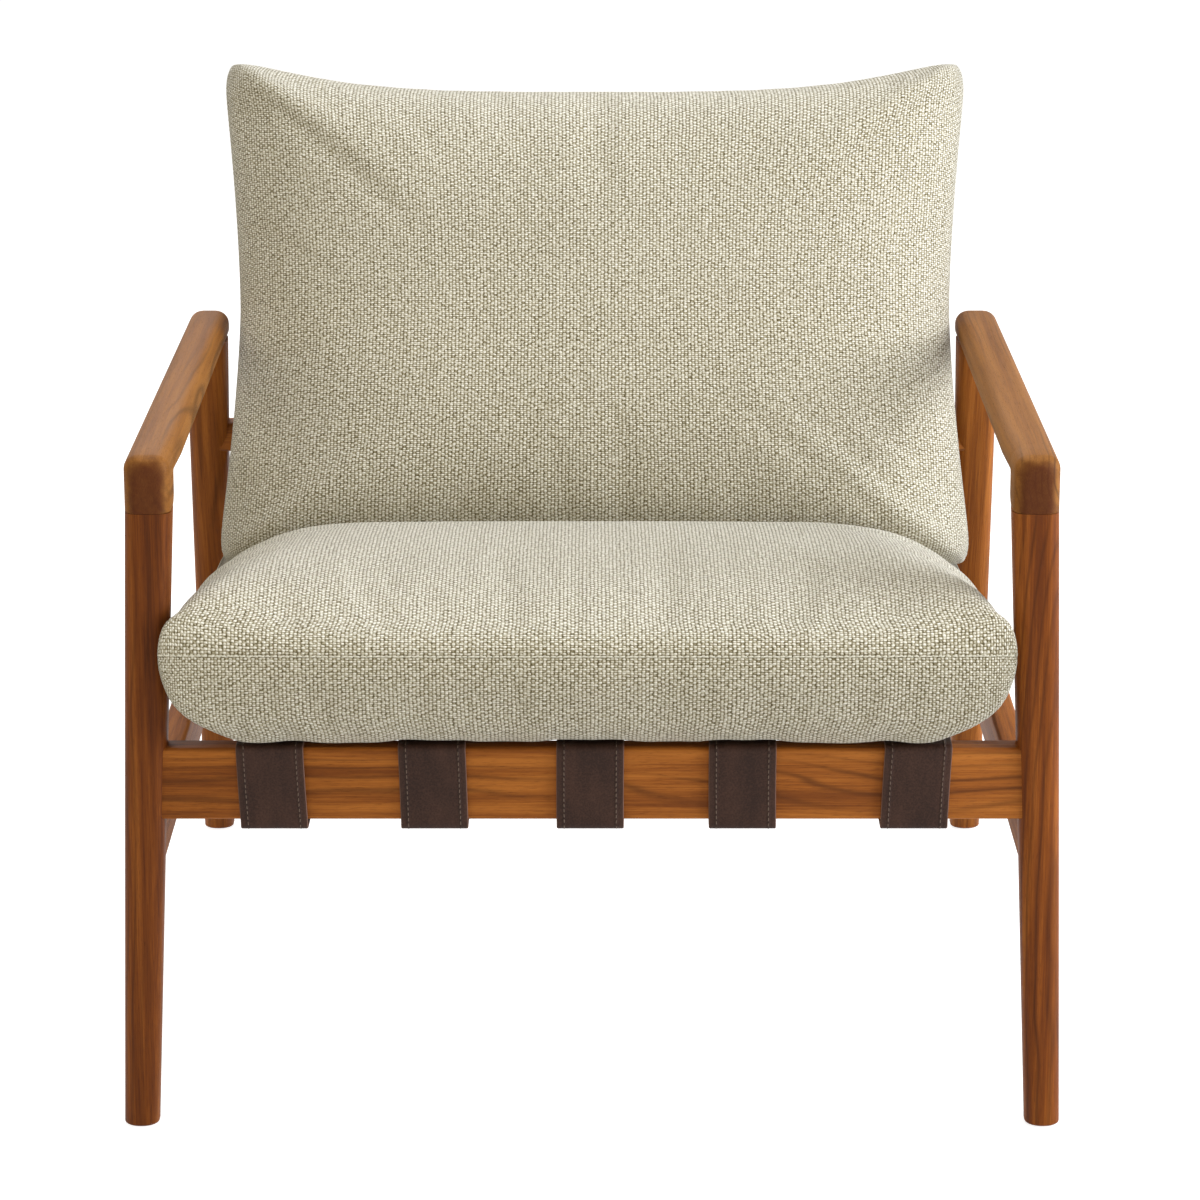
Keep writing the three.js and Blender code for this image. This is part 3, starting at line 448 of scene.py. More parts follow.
def loft_faces(rings, count):
    faces = []
    for ring in range(rings - 1):
        for i in range(count):
            a = ring * count + i
            b = ring * count + (i + 1) % count
            faces.append((a, b, b + count, a + count))
    last = (rings - 1) * count
    faces.append(tuple(reversed(range(count))))
    faces.append(tuple(last + i for i in range(count)))
    return faces


def round_outline(low, high, top_corner, low_corner):
    """A rectangle from low to high, anticlockwise, with its upper and lower corners rounded."""
    half = (high[0] - low[0]) / 2, (high[1] - low[1]) / 2
    points = []
    for corner, (side_x, side_y) in enumerate([(1, -1), (1, 1), (-1, 1), (-1, -1)]):
        radius = min(top_corner if side_y > 0 else low_corner, *half)
        edge_x = high[0] if side_x > 0 else low[0]
        edge_y = high[1] if side_y > 0 else low[1]
        for step in range(CORNER_STEPS + 1):
            angle = math.pi / 2 * (corner - 1 + step / CORNER_STEPS)
            points.append((
                edge_x - side_x * radius + radius * math.cos(angle),
                edge_y - side_y * radius + radius * math.sin(angle),
            ))
    return points


def centred_outline(width, height, corner):
    return round_outline((-width / 2, -height / 2), (width / 2, height / 2), corner, corner)


def wooden_piece(name, rings, along, across, seed, wood=TEAK):
    """A piece lofted through rings of points. Its grain runs in the along direction."""
    vertices = [point for ring in rings for point in ring]
    faces = loft_faces(len(rings), len(rings[0]))
    piece = make_piece(name, vertices, faces, wood, "frame", [name])
    chance = random.Random(seed)
    shift = [chance.uniform(0, 9)] + [chance.uniform(-PLANK_SPREAD, PLANK_SPREAD) for _ in range(2)]
    middle = (vertices[0] + vertices[-1]) / 2
    places = np.array([tuple(v - middle) for v in vertices])
    axes = np.array([tuple(along), tuple(across), tuple(along.cross(across))])
    set_lay(piece, places @ axes.T + shift)
    return piece


def straight_bar(name, low, high, axis, across, size, seed):
    """A bar with eased edges and ends. size is its thickness across, and square to that."""
    start = (low + high) / 2
    end = start.copy()
    start[axis], end[axis] = low[axis], high[axis]
    along = (end - start).normalized()
    up = along.cross(across)
    length = (end - start).length
    ends = []
    for share in (0.0, 0.1, 0.35, 1.0):
        inset = RAIL_END_EASE * (1 - math.sqrt(1 - (1 - share) ** 2))
        ends.append((share * RAIL_END_EASE, inset))
    stations = ends + [(length - place, inset) for place, inset in reversed(ends)]
    rings = []
    for place, inset in stations:
        middle = start + along * place
        outline = centred_outline(size[0] - 2 * inset, size[1] - 2 * inset, RAIL_EDGE)
        rings.append([middle + across * x + up * y for x, y in outline])
    return wooden_piece(name, rings, along, across, seed)


def build_leg(name, seed, raked, wood):
    low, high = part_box(name)
    side = 1 if low.x > 0 else -1
    stretch = 1 / math.cos(RAKE) if raked else 1
    outer, inner = (high.x, low.x) if side > 0 else (low.x, high.x)
    foot = Vector((outer - side * LEG_FOOT_WIDTH / 2, 0, low.z - FOOT_DROP))
    top = Vector((inner + side * LEG_TOP_WIDTH / 2, 0, high.z))
    foot.y = high.y - LEG_FOOT_WIDTH * stretch / 2 if raked else low.y + LEG_FOOT_WIDTH / 2
    top.y = low.y + LEG_TOP_WIDTH * stretch / 2
    rings = []
    shares = [(0, 1.0), (0.001, 0.5), (0.0025, 0.15), (0.005, 0)]
    shares += [(step / LEG_STATIONS, 0) for step in range(1, LEG_STATIONS + 1)]
    for share, ease in shares:
        middle = foot.lerp(top, share)
        width = LEG_FOOT_WIDTH + (LEG_TOP_WIDTH - LEG_FOOT_WIDTH) * share - 2 * ease * FOOT_EASE
        corner = LEG_CORNER_FOOT + (LEG_CORNER_TOP - LEG_CORNER_FOOT) * share
        outline = centred_outline(width, width * stretch, corner)
        rings.append([middle + X * x + Y * y for x, y in outline])
    along = (top - foot).normalized()
    return wooden_piece(name, rings, along, X, seed, wood)


def build_arm(word, seed):
    """A bar with soft edges whose front end drops as a knuckle onto the leg, in one skin.

    A station is a place from front to rear, how far the sides come in there, the heights of the
    underside and the top, and the radius of the lower edges.
    """
    low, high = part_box(f"{word}_arm")
    bar_under = high.z - ARM_THICKNESS
    knuckle_back = low.y + KNUCKLE_DEPTH
    stations = []
    for step in range(8):
        angle = math.pi / 2 * step / 7
        reach = KNUCKLE_CORNER * (1 - math.cos(angle))
        narrow = KNUCKLE_CORNER * (1 - math.sin(angle))
        short = max(ARM_EDGE - reach, 0)
        droop = ARM_EDGE - math.sqrt(ARM_EDGE ** 2 - short ** 2)
        stations.append((low.y + reach, narrow, low.z, high.z - droop, KNUCKLE_LOW_CORNER))
    stations.append((knuckle_back - 8 * MM, 0, low.z, high.z, KNUCKLE_LOW_CORNER))
    stations.append((knuckle_back - 3 * MM, 0, low.z, high.z, 4 * MM))
    stations.append((knuckle_back - 0.4 * MM, 0, low.z, high.z, 8 * MM))
    for step in range(7):
        angle = math.pi / 2 * step / 6
        reach = KNUCKLE_FILLET * (1 - math.cos(angle))
        under = bar_under - KNUCKLE_FILLET * (1 - math.sin(angle))
        stations.append((knuckle_back + reach, 0, under, high.z, ARM_EDGE))
    bar_run = high.y - ARM_END_ROUND - knuckle_back - KNUCKLE_FILLET
    for step in range(1, 10):
        y = knuckle_back + KNUCKLE_FILLET + bar_run * step / 10
        stations.append((y, 0, bar_under, high.z, ARM_EDGE))
    for step in range(10):
        # just short of a quarter turn, so that the last ring keeps some width
        angle = math.pi / 2 * step / 9.3
        y = high.y - ARM_END_ROUND * (1 - math.sin(angle))
        narrow = (high.x - low.x) / 2 * (1 - math.cos(angle))
        thin = min(narrow * 0.6, ARM_EDGE * 0.55)
        stations.append((y, narrow, bar_under + thin, high.z - thin, ARM_EDGE))
    rings = []
    for y, narrow, under, top, low_corner in stations:
        toe = ARM_TOE[word] * (y - low.y) / (high.y - low.y)
        slim = KNUCKLE_SLIM * min(max(1 - (y - knuckle_back) / KNUCKLE_BLEND, 0), 1)
        start, end = (low.x + toe, high.x - slim) if word == "left" else (low.x + slim, high.x - toe)
        outline = round_outline((start + narrow, under), (end - narrow, top), ARM_EDGE, low_corner)
        rings.append([Vector((x, y, z)) for x, z in outline])
    return wooden_piece(f"{word}_arm", rings, Y, X, seed, ARM_TEAK)


def build_rails():
    rails = ["front_rail", "rear_seat_rail", "back_cross_rail", "back_top_rail"]
    for name, seed in zip(rails, (40, 41, 42, 50)):
        low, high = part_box(name)
        if name == "rear_seat_rail":
            # its tenons are hidden in the side rails, so what shows stops there
            low.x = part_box("left_side_rail")[1].x - RAIL_END_EASE
            high.x = -low.x
        leaning = name == "back_top_rail"
        size = TOP_RAIL_SIZE if leaning else (high.y - low.y, high.z - low.z)
        straight_bar(name, low, high, 0, LEAN_BACK if leaning else Y, size, seed)
    for word in SIDES:
        low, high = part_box(f"{word}_side_rail")
        size = (high.x - low.x, high.z - low.z)
        straight_bar(f"{word}_side_rail", low, high, 1, X, size, len(word) + 60)
        low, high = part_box(f"{word}_back_post")
        half = POST_DEPTH / math.cos(RAKE) / 2
        foot = Vector(((low.x + high.x) / 2, low.y + half, low.z))
        head = Vector(((low.x + high.x) / 2, high.y - half, high.z))
        rings = []
        for share, ease in [(0, 0), (0.5, 0), (0.995, 0), (0.998, 0.3), (1, 1)]:
            middle = foot.lerp(head, share)
            inset = ease * RAIL_END_EASE
            outline = centred_outline(high.x - low.x - 2 * inset, 2 * (half - inset), RAIL_EDGE)
            rings.append([middle + X * x + Y * y for x, y in outline])
        wooden_piece(f"{word}_back_post", rings, LEAN_UP, X, len(word) + 70)


# Straps: a ribbon along a bent line in the plane of Y and Z
def bent_line(corners):
    line = [corners[0]]
    for before, corner, after in zip(corners, corners[1:], corners[2:]):
        into = (before - corner).normalized()
        out = (after - corner).normalized()
        half = into.angle(out) / 2
        room = min((before - corner).length, (after - corner).length) / 2
        reach = min(STRAP_BEND / math.tan(half), room)
        start, end = corner + into * reach, corner + out * reach
        for step in range(7):
            share = step / 6
            line.append(start.lerp(corner, share).lerp(corner.lerp(end, share), share))
    line.append(corners[-1])
    full = [line[0]]
    for point in line[1:]:
        before = full[-1]
        gap = (point - before).length
        if gap < 0.05 * MM:
            continue
        pieces = max(1, round(gap / STRAP_STEP))
        full.extend(before.lerp(point, piece / pieces) for piece in range(1, pieces + 1))
    return full


def ribbon(name, corners, x, slant, slant_span):
    """A strap, and its two rows of stitches on both faces."""
    line = bent_line([Vector((0, y, z)) for y, z in corners])
    tangents = [(b - a).normalized() for a, b in zip([line[0]] + line[:-1], line[1:] + [line[-1]])]
    lengths = np.concatenate([[0], np.cumsum([(b - a).length for a, b in zip(line, line[1:])])])
    chance = random.Random(name)
    turn = chance.uniform(0, 6)
    rings, lay, frames = [], [], []
    outline = centred_outline(STRAP_WIDTH, STRAP_THICKNESS, STRAP_EDGE)
    for point, tangent, run in zip(line, tangents, lengths):
        out = Vector((0, -tangent.z, tangent.y))
        share = min(max((slant_span[1] - point.z) / (slant_span[1] - slant_span[0]), 0), 1)
        sway = STRAP_SWAY * math.sin(run * 42 + turn)
        middle = Vector((x + slant * share + sway, point.y, point.z))
        frames.append((middle, tangent, out))
        for across, up in outline:
            rings.append(middle + X * across + out * up)
            lay.append((run + turn, across, up))
    faces = loft_faces(len(line), len(outline))
    piece = make_piece(name, rings, faces, LEATHER, "frame", [name])
    set_lay(piece, lay)
    stitches(f"{name}_stitches", frames, lengths, chance)


def add_stitch(vertices, faces, point, run, side, out):
    """A low dash whose ends dip in. run, side and out are its half length, half width and height."""
    start = len(vertices)
    profile = [(-1, 0.15), (-0.8, 0.75), (-0.3, 1), (0.3, 1), (0.8, 0.75), (1, 0.15)]
    for where, size in profile:
        for corner in range(6):
            angle = math.pi * corner / 5
            over = side * math.cos(angle) + out * math.sin(angle)
            vertices.append(point + run * where + over * size)
    turned = np.dot(np.cross(run, side), out) < 0
    for ring in range(len(profile) - 1):
        for corner in range(5):
            a = start + ring * 6 + corner
            faces.append((a, a + 1, a + 7, a + 6) if turned else (a, a + 6, a + 7, a + 1))


def along_line(place, lengths, values):
    return np.array([np.interp(place, lengths, values[:, axis]) for axis in range(3)])


def stitches(name, frames, lengths, chance):
    """Two rows on each face. A frame is the strap's middle, its direction and its outward side."""
    vertices, faces = [], []
    middles, tangents, outs = (np.array([tuple(frame[part]) for frame in frames]) for part in range(3))
    for side in (-1, 1):
        for face in (-1, 1):
            place = STITCH_START + chance.uniform(0, STITCH_PITCH)
            while place < lengths[-1] - STITCH_START:
                out = along_line(place, lengths, outs) * face
                skew = side * 0.07 + chance.uniform(-0.03, 0.03)
                point = along_line(place, lengths, middles) + out * (STRAP_THICKNESS / 2 - STITCH_SUNK)
                point[0] += side * STITCH_ROW
                lean = np.array([skew, 0, 0])
                run = (along_line(place, lengths, tangents) + lean) * STITCH_LENGTH / 2
                wide = np.array([STITCH_WIDTH / 2, 0, 0])
                add_stitch(vertices, faces, point, run, wide, out * (STITCH_PROUD + STITCH_SUNK))
                place += STITCH_PITCH * chance.uniform(0.96, 1.04)
    make_piece(name, vertices, faces, THREAD, "frame")


def build_straps():
    front_low, front_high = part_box("front_rail")
    rear_low, rear_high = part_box("rear_seat_rail")
    cross_low, cross_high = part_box("back_cross_rail")
    off = STRAP_STAND + STRAP_THICKNESS / 2
    seat = [
        (front_high.y + off, front_low.z + STRAP_LAP),
        (front_high.y + off, front_low.z - STRAP_SLACK - off),
        (front_low.y - off, front_low.z - STRAP_SLACK - off),
        (front_low.y - off, front_high.z + off),
        (front_high.y, front_high.z + off),
        (rear_low.y, rear_high.z + off),
        (rear_high.y + off, rear_high.z + off),
        (rear_high.y + off, rear_low.z - off),
        (rear_low.y - off, rear_low.z - off),
        (rear_low.y - off, rear_low.z + STRAP_LAP),
    ]
    for name, slant in zip(SEAT_STRAPS, SEAT_STRAP_SLANT):
        low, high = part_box(name)
        ribbon(name, seat, (low.x + high.x) / 2, slant, (front_low.z, front_high.z))
    low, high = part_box("back_top_rail")
    middle = (low + high) / 2
    stand = TOP_RAIL_SIZE[0] / 2 + off
    half = TOP_RAIL_SIZE[1] / 2

    def by_top_rail(back, up):
        point = middle + LEAN_BACK * back + LEAN_UP * up
        return point.y, point.z

    back = [
        by_top_rail(stand, half - STRAP_LAP),
        by_top_rail(stand, half + off),
        by_top_rail(-stand, half + off),
        by_top_rail(-stand, -half),
        (cross_low.y - off, cross_high.z),
        (cross_low.y - off, cross_low.z - off),
        (cross_high.y + off, cross_low.z - off),
        (cross_high.y + off, cross_low.z + BACK_STRAP_LAP),
    ]
    for name in BACK_STRAPS:
        low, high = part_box(name)
        ribbon(name, back, (low.x + high.x) / 2, 0, (0, 1))


def build_screw(name, into, turn):
    """A slotted round-head screw. into is the direction it was driven in."""
    low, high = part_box(name)
    middle = (low + high) / 2
    length = (high.y - low.y - 2 * HEAD_RADIUS * abs(into.z)) / abs(into.y)
    seat = middle - into * (length / 2 - HEAD_SUNK)
    side = X * math.cos(turn) + into.cross(X) * math.sin(turn)
    rise = -into
    across = rise.cross(side)
    lines = [-1, -0.97, -0.9, -0.75, -0.55, -0.3]
    lines = [share * HEAD_RADIUS for share in lines] + [-SLOT_WIDTH / 2 - 0.05 * MM, -SLOT_WIDTH / 2]
    lines += [-place for place in reversed(lines)]
    shares = [math.sin(math.pi * (i / 14 - 0.5)) for i in range(15)]
    vertices = []
    for place in lines:
        reach = math.sqrt(max(HEAD_RADIUS ** 2 - place ** 2, 0))
        for share in shares:
            spot = (place, share * reach)
            off = math.hypot(*spot) / HEAD_RADIUS
            height = HEAD_RIM + (HEAD_HEIGHT - HEAD_RIM) * math.sqrt(max(1 - off ** 2, 0))
            if abs(place) <= SLOT_WIDTH / 2 + 1e-7:
                height = min(height, HEAD_HEIGHT - SLOT_DEPTH)
            vertices.append(seat + side * spot[0] + across * spot[1] + rise * height)
    count = len(shares)
    faces = [(row * count + i, (row + 1) * count + i, (row + 1) * count + i + 1, row * count + i + 1)
             for row in range(len(lines) - 1) for i in range(count - 1)]
    for radius, depth, sides in ((HEAD_RADIUS, HEAD_RIM, 32), (SHANK_RADIUS, HEAD_SUNK - length, 12)):
        start = len(vertices)
        for height in (depth, 0):
            for i in range(sides):
                angle = 2 * math.pi * i / sides
                spot = side * math.cos(angle) * radius + across * math.sin(angle) * radius
                vertices.append(seat + spot + rise * height)
        for i in range(sides):
            j = (i + 1) % sides
            faces.append((start + i, start + j, start + sides + j, start + sides + i))
        end = start + sides if depth > 0 else start
        faces.append(tuple(end + i for i in range(sides)))
    make_piece(name, vertices, faces, BRASS, "frame", [name], 30)


def build_screws():
    chance = random.Random(8)
    for name in sorted(frame["nodes"]):
        if "screw" not in name:
            continue
        low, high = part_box(name)
        into = Y if "rear" in name else -Y
        if high.z - low.z > 2 * HEAD_RADIUS + 0.5 * MM:
            into = -LEAN_BACK
        build_screw(name, into, chance.uniform(0, math.pi))


def eased(share):
    """0 below 0, 1 above 1, and a soft step between them."""
    share = np.clip(share, 0, 1)
    return share * share * (3 - 2 * share)


class Cushion:
    """A crowned form over a seam line. across and along run from -1 to 1 over the seam's outline.

    above and below are its depths over the seam, and powers says how boxy each face is, across
    and along. corner is the share by which its corners come in across and along, and how sharply.
    """

    def __init__(self, name, centre, along, up, *, half_length, above, below, crown, corner, powers):
        self.name = name
        self.centre = np.array(centre)
        self.axes = np.array([(1, 0, 0), along, up])
        self.half_length = half_length
        self.depths = {1: above, -1: below}
        self.crown = crown
        self.corner = corner
        self.powers = powers

    def local(self, points):
        return (points - self.centre) @ self.axes.T

    def world(self, points):
        return points @ self.axes + self.centre

    def run_over(self, half, depth, power):
        """How far along the skin each of many lines lies, from one seam to the other."""
        fine = np.sin(np.linspace(-math.pi / 2, math.pi / 2, SKIN_SAMPLES))
        heights = depth * np.sqrt(1 - np.abs(fine) ** power)
        run = np.concatenate([[0], np.cumsum(np.hypot(np.diff(fine) * half, np.diff(heights)))])
        return fine, run

    def lines(self, half, power):
        """Grid lines that are evenly spaced over the skin, with one more beside each seam."""
        fine, run = self.run_over(half, (self.depths[1] + self.depths[-1]) / 2, power)
        places = np.linspace(0, run[-1], round(run[-1] / CLOTH_STEP) + 1)
        places = np.sort(np.concatenate([places, [SEAM_LIP, run[-1] - SEAM_LIP]]))
        return np.interp(places, run, fine)

    def skin(self, across, along, face):
        power_x, power_y = self.powers[face]
        round_x = 1 - self.corner[0] * np.abs(along) ** self.corner[2]
        round_y = 1 - self.corner[1] * np.abs(across) ** self.corner[2]
        inner_x = np.maximum(1 - np.abs(across) ** (power_x - self.rear_ease * along), 1e-9)
        inner_y = np.maximum(1 - np.abs(along) ** (power_y + self.corner_power * across ** 6), 1e-9)
        full = np.sqrt((inner_x ** -FULLNESS + inner_y ** -FULLNESS - 1) ** (-1 / FULLNESS))
        draw = along * np.where(along < 0, *self.end_draws) * (1 - np.abs(across) ** 3.6)
        depth = self.depths[face] * full
        if face > 0:
            depth = depth + self.crown * (1 - across ** 2) * (1 - along ** 2)
        x = across * self.half_width(along) * round_x
        y = along * self.half_length * round_y - draw
        return np.stack([x, y, face * depth], axis=-1)

    def build(self, shift, stands_for):
        half = self.half_width(np.array(0.0))
        columns = self.lines(half, self.powers[1][0])
        rows = self.lines(self.half_length, self.powers[1][1])
        across, along = np.meshgrid(columns, rows)
        shape = across.shape
        top = self.skin(across, along, 1).reshape(-1, 3)
        low = self.skin(across, along, -1).reshape(-1, 3)
        index = np.arange(across.size).reshape(shape)
        inner = np.zeros(shape, bool)
        inner[1:-1, 1:-1] = True
        under = index.copy()
        under[inner] = across.size + np.arange(inner.sum())
        points = np.vstack([top, low[inner.ravel()]])
        self.from_seam = np.zeros(len(points))
        faces, cloth = [], []
        for face, grid in ((1, index), (-1, under)):
            power_x, power_y = self.powers[face]
            fine, run = self.run_over(half, self.depths[face], power_x)
            u = np.interp(columns, fine, run) - run[-1] / 2
            edge_u = u[-1] - np.abs(u)
            fine, run = self.run_over(self.half_length, self.depths[face], power_y)
            v = np.interp(rows, fine, run) - run[-1] / 2
            edge_v = v[-1] - np.abs(v)
            self.from_seam[grid] = np.minimum(edge_u[None, :], edge_v[:, None])
            for row in range(shape[0] - 1):
                for column in range(shape[1] - 1):
                    turns = ((0, 0), (0, 1), (1, 1), (1, 0))
                    corners = [(row + down, column + right) for down, right in turns]
                    if face < 0:
                        corners.reverse()
                    faces.append([int(grid[c]) for c in corners])
                    cloth.extend((u[c[1]], v[c[0]]) for c in corners)
        self.loop = np.concatenate([index[0, :-1], index[:-1, -1], index[-1, :0:-1], index[:0:-1, 0]])
        outward = np.zeros((len(points), 3))
        outward[index[:, 0], 0] = outward[index[0], 1] = -1
        outward[index[:, -1], 0] = outward[index[-1], 1] = 1
        self.outward = outward @ self.axes
        world = self.world(points) + np.array([shift, 0, 0])
        piece = make_piece(self.name, world, faces, FABRIC, self.name, stands_for, 180)
        layer = piece.data.uv_layers.new(name="cloth")
        layer.data.foreach_set("uv", np.array(cloth, dtype=np.float32).ravel())
        self.piece = piece

    def neighbour_mean(self, values):
        """Evens out values over the mesh, each point with those that it shares an edge with."""
        edges = np.empty(len(self.piece.data.edges) * 2, dtype=np.int32)
        self.piece.data.edges.foreach_get("vertices", edges)
        first, second = edges.reshape(-1, 2).T
        count = 1 + np.bincount(np.concatenate([first, second]), minlength=len(values))
        for _ in range(SMOOTHING_ROUNDS):
            total = values.copy()
            for axis in range(values.shape[1]):
                total[:, axis] += np.bincount(first, values[second, axis], len(values))
                total[:, axis] += np.bincount(second, values[first, axis], len(values))
            values = total / count[:, None]
        return values

    def fill_out(self, cap, crease, swell):
        """Lets the cover go as cloth that is a little too big for its seam and blown up by its filling.

        A share of its creases is kept, and of its swelling. Both fade out towards the seam.
        """
        start = coordinates(self.piece)
        cloth = self.piece.modifiers.new("cloth", "CLOTH")
        held = self.piece.vertex_groups.new(name="held")
        held.add(self.loop.tolist(), 1.0, "REPLACE")
        cloth.settings.effector_weights.gravity = 0
        for name, value in {
            "vertex_group_mass": "held", "quality": 6, "mass": 0.3, "tension_stiffness": 20,
            "compression_stiffness": 20, "shear_stiffness": 8, "bending_stiffness": 0.4,
            "use_pressure": True, "uniform_pressure_force": 4.0, "shrink_min": -0.02,
        }.items():
            setattr(cloth.settings, name, value)
        for number in range(1, CLOTH_FRAMES + 1):
            bpy.context.scene.frame_set(number)
        shown = self.piece.evaluated_get(bpy.context.evaluated_depsgraph_get())
        moved = coordinates(shown) - start
        self.piece.modifiers.remove(cloth)
        self.piece.vertex_groups.remove(held)
        bpy.context.scene.frame_set(1)
        slow = self.neighbour_mean(moved)
        free = eased((self.from_seam - SEAM_HOLD) / SEAM_FADE)[:, None]
        moved = ((moved - slow) * crease + slow * swell) * free
        length = np.linalg.norm(moved, axis=1, keepdims=True) + 1e-9
        set_coordinates(self.piece, start + moved / length * cap * np.tanh(length / cap))

    def sew(self):
        """Draws the seam into a groove and lays its stitches there."""
        points = coordinates(self.piece)
        loop = self.loop
        normals = self.outward[loop] / np.linalg.norm(self.outward[loop], axis=1, keepdims=True)
        points[loop] -= normals * SEAM_DEPTH
        set_coordinates(self.piece, points)
        line = points[loop] + normals * SEAM_DEPTH * 0.7
        line = np.vstack([line, line[:1]])
        normals = np.vstack([normals, normals[:1]])
        lengths = np.concatenate([[0], np.cumsum(np.linalg.norm(np.diff(line, axis=0), axis=1))])
        vertices, faces = [], []
        chance = random.Random(self.name)
        place = SEAM_PITCH / 2
        while place < lengths[-1] - SEAM_PITCH / 2:
            point = along_line(place, lengths, line)
            run = along_line(place + SEAM_STITCH / 2, lengths, line) - point
            out = along_line(place, lengths, normals)
            side = np.cross(run, out) / np.linalg.norm(run)
            add_stitch(vertices, faces, point, run, side * SEAM_THREAD_RADIUS, out * SEAM_THREAD_RADIUS)
            place += SEAM_PITCH * chance.uniform(0.97, 1.03)
        make_piece(f"{self.name}_stitches", vertices, faces, SEAM_THREAD, self.name)


class SeatCushion(Cushion):
    """A deep cushion, slightly waisted, with a flare at its very front and softer rear edges."""

    corner_power = 5
    rear_ease = 3.5
    end_draws = (-0.005, 0.0)

    def half_width(self, along):
        flare = eased((-along - 0.932) / 0.035)
        return 0.327 - 0.004 * (1 - np.abs(along) ** 1.5) + 0.0065 * flare


class BackCushion(Cushion):
    """A knife-edge cushion whose sides and ends are drawn in between its pointed corners."""

    corner_power = 0
    rear_ease = 0
    end_draws = (0.017, 0.034)

    def half_width(self, along):
        return 0.3312 - 0.0002 * along - 0.018 * (1 - np.abs(along) ** 1.5)


def coordinates(piece):
    points = np.empty(len(piece.data.vertices) * 3)
    piece.data.vertices.foreach_get("co", points)
    return points.reshape(-1, 3)


def set_coordinates(piece, points):
    piece.data.vertices.foreach_set("co", points.ravel())
    piece.data.update()


def skin_of(piece):
    corners = [tuple(vertex.co) for vertex in piece.data.vertices]
    return BVHTree.FromPolygons(corners, [tuple(face.vertices) for face in piece.data.polygons])


def sag_between(names, x):
    """How far a cushion sinks between the straps that carry it, at each x."""
    edges = [edge.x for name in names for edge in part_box(name)]
    sag = np.zeros(len(x))
    for start, end in zip(edges[1::2], edges[2::2]):
        share = np.clip((x - start) / (end - start), 0, 1)
        sag = np.maximum(sag, STRAP_SAG * np.sqrt(np.abs(np.sin(math.pi * share))))
    return sag


def lie_on_straps(seat):
    """The seat cushion's underside lies on its straps, sags between them, and hangs free in front."""
    rail_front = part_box("front_rail")[0].y - STRAP_STAND - STRAP_THICKNESS
    points = coordinates(seat.piece)
    local = seat.local(points)
    floor = SEAT_FLOOR - sag_between(SEAT_STRAPS, points[:, 0])
    carried = (points[:, 1] > rail_front) & (local[:, 2] < SEAT_SIDES_END)
    local[carried, 2] = np.maximum(local[carried, 2], floor[carried])
    set_coordinates(seat.piece, seat.world(local))


def lean_on_straps(back):
    """The back cushion's rear lies on its straps, sags between them, and bulges over the top rail."""
    rail_low, rail_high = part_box("back_top_rail")
    cross_low, cross_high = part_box("back_cross_rail")
    reach = STRAP_STAND + STRAP_THICKNESS + BACK_GAP
    top = (rail_low + rail_high) / 2 - LEAN_BACK * (TOP_RAIL_SIZE[0] / 2 + reach)
    top = top - LEAN_UP * TOP_RAIL_SIZE[1] / 2
    foot = Vector((0, cross_low.y - reach, cross_high.z))
    points = coordinates(back.piece)
    x, y, z = points.T
    plane = foot.y + np.maximum(z - foot.z, 0) * (top.y - foot.y) / (top.z - foot.z)
    free = np.maximum(z - rail_high.z, 0) + np.maximum(cross_low.z - z, 0)
    points[:, 1] = np.minimum(y, plane + free + sag_between(BACK_STRAPS, x))
    set_coordinates(back.piece, points)


def press_down(seat):
    """The seat cushion's rear dips under the back cushion."""
    points = coordinates(seat.piece)
    local = seat.local(points)
    rear = eased((points[:, 1] + 0.12) / 0.16)
    side = np.clip((points[:, 1] + 0.18) / 0.2, 0, 1)
    side = side * np.clip((np.abs(local[:, 0]) - 0.235) / 0.09, 0, 1) ** 2
    sink = SEAT_REAR_SINK * rear + SEAT_CORNER_SINK * side
    local[:, 2] -= sink * np.clip(local[:, 2] / 0.05, 0, 1)
    set_coordinates(seat.piece, seat.world(local))


def settle(seat, back):
    """The back cushion stands on the seat cushion: its foot flattens there."""
    seat_skin = skin_of(seat.piece)
    points = coordinates(back.piece)
    up = Vector(seat.axes[2])
    for i, point in enumerate(points):
        if point[2] > BACK_FOOT_TOP:
            continue
        place = Vector(point)
        hit, _, _, _ = seat_skin.ray_cast(place + up * 0.4, -up)
        if hit is None:
            continue
        gap = (place - hit).dot(up)
        lifted = (gap + math.hypot(gap, FOOT_GIVE)) / 2
        points[i] = tuple(hit + up * (lifted + CUSHION_GAP))
    set_coordinates(back.piece, points)


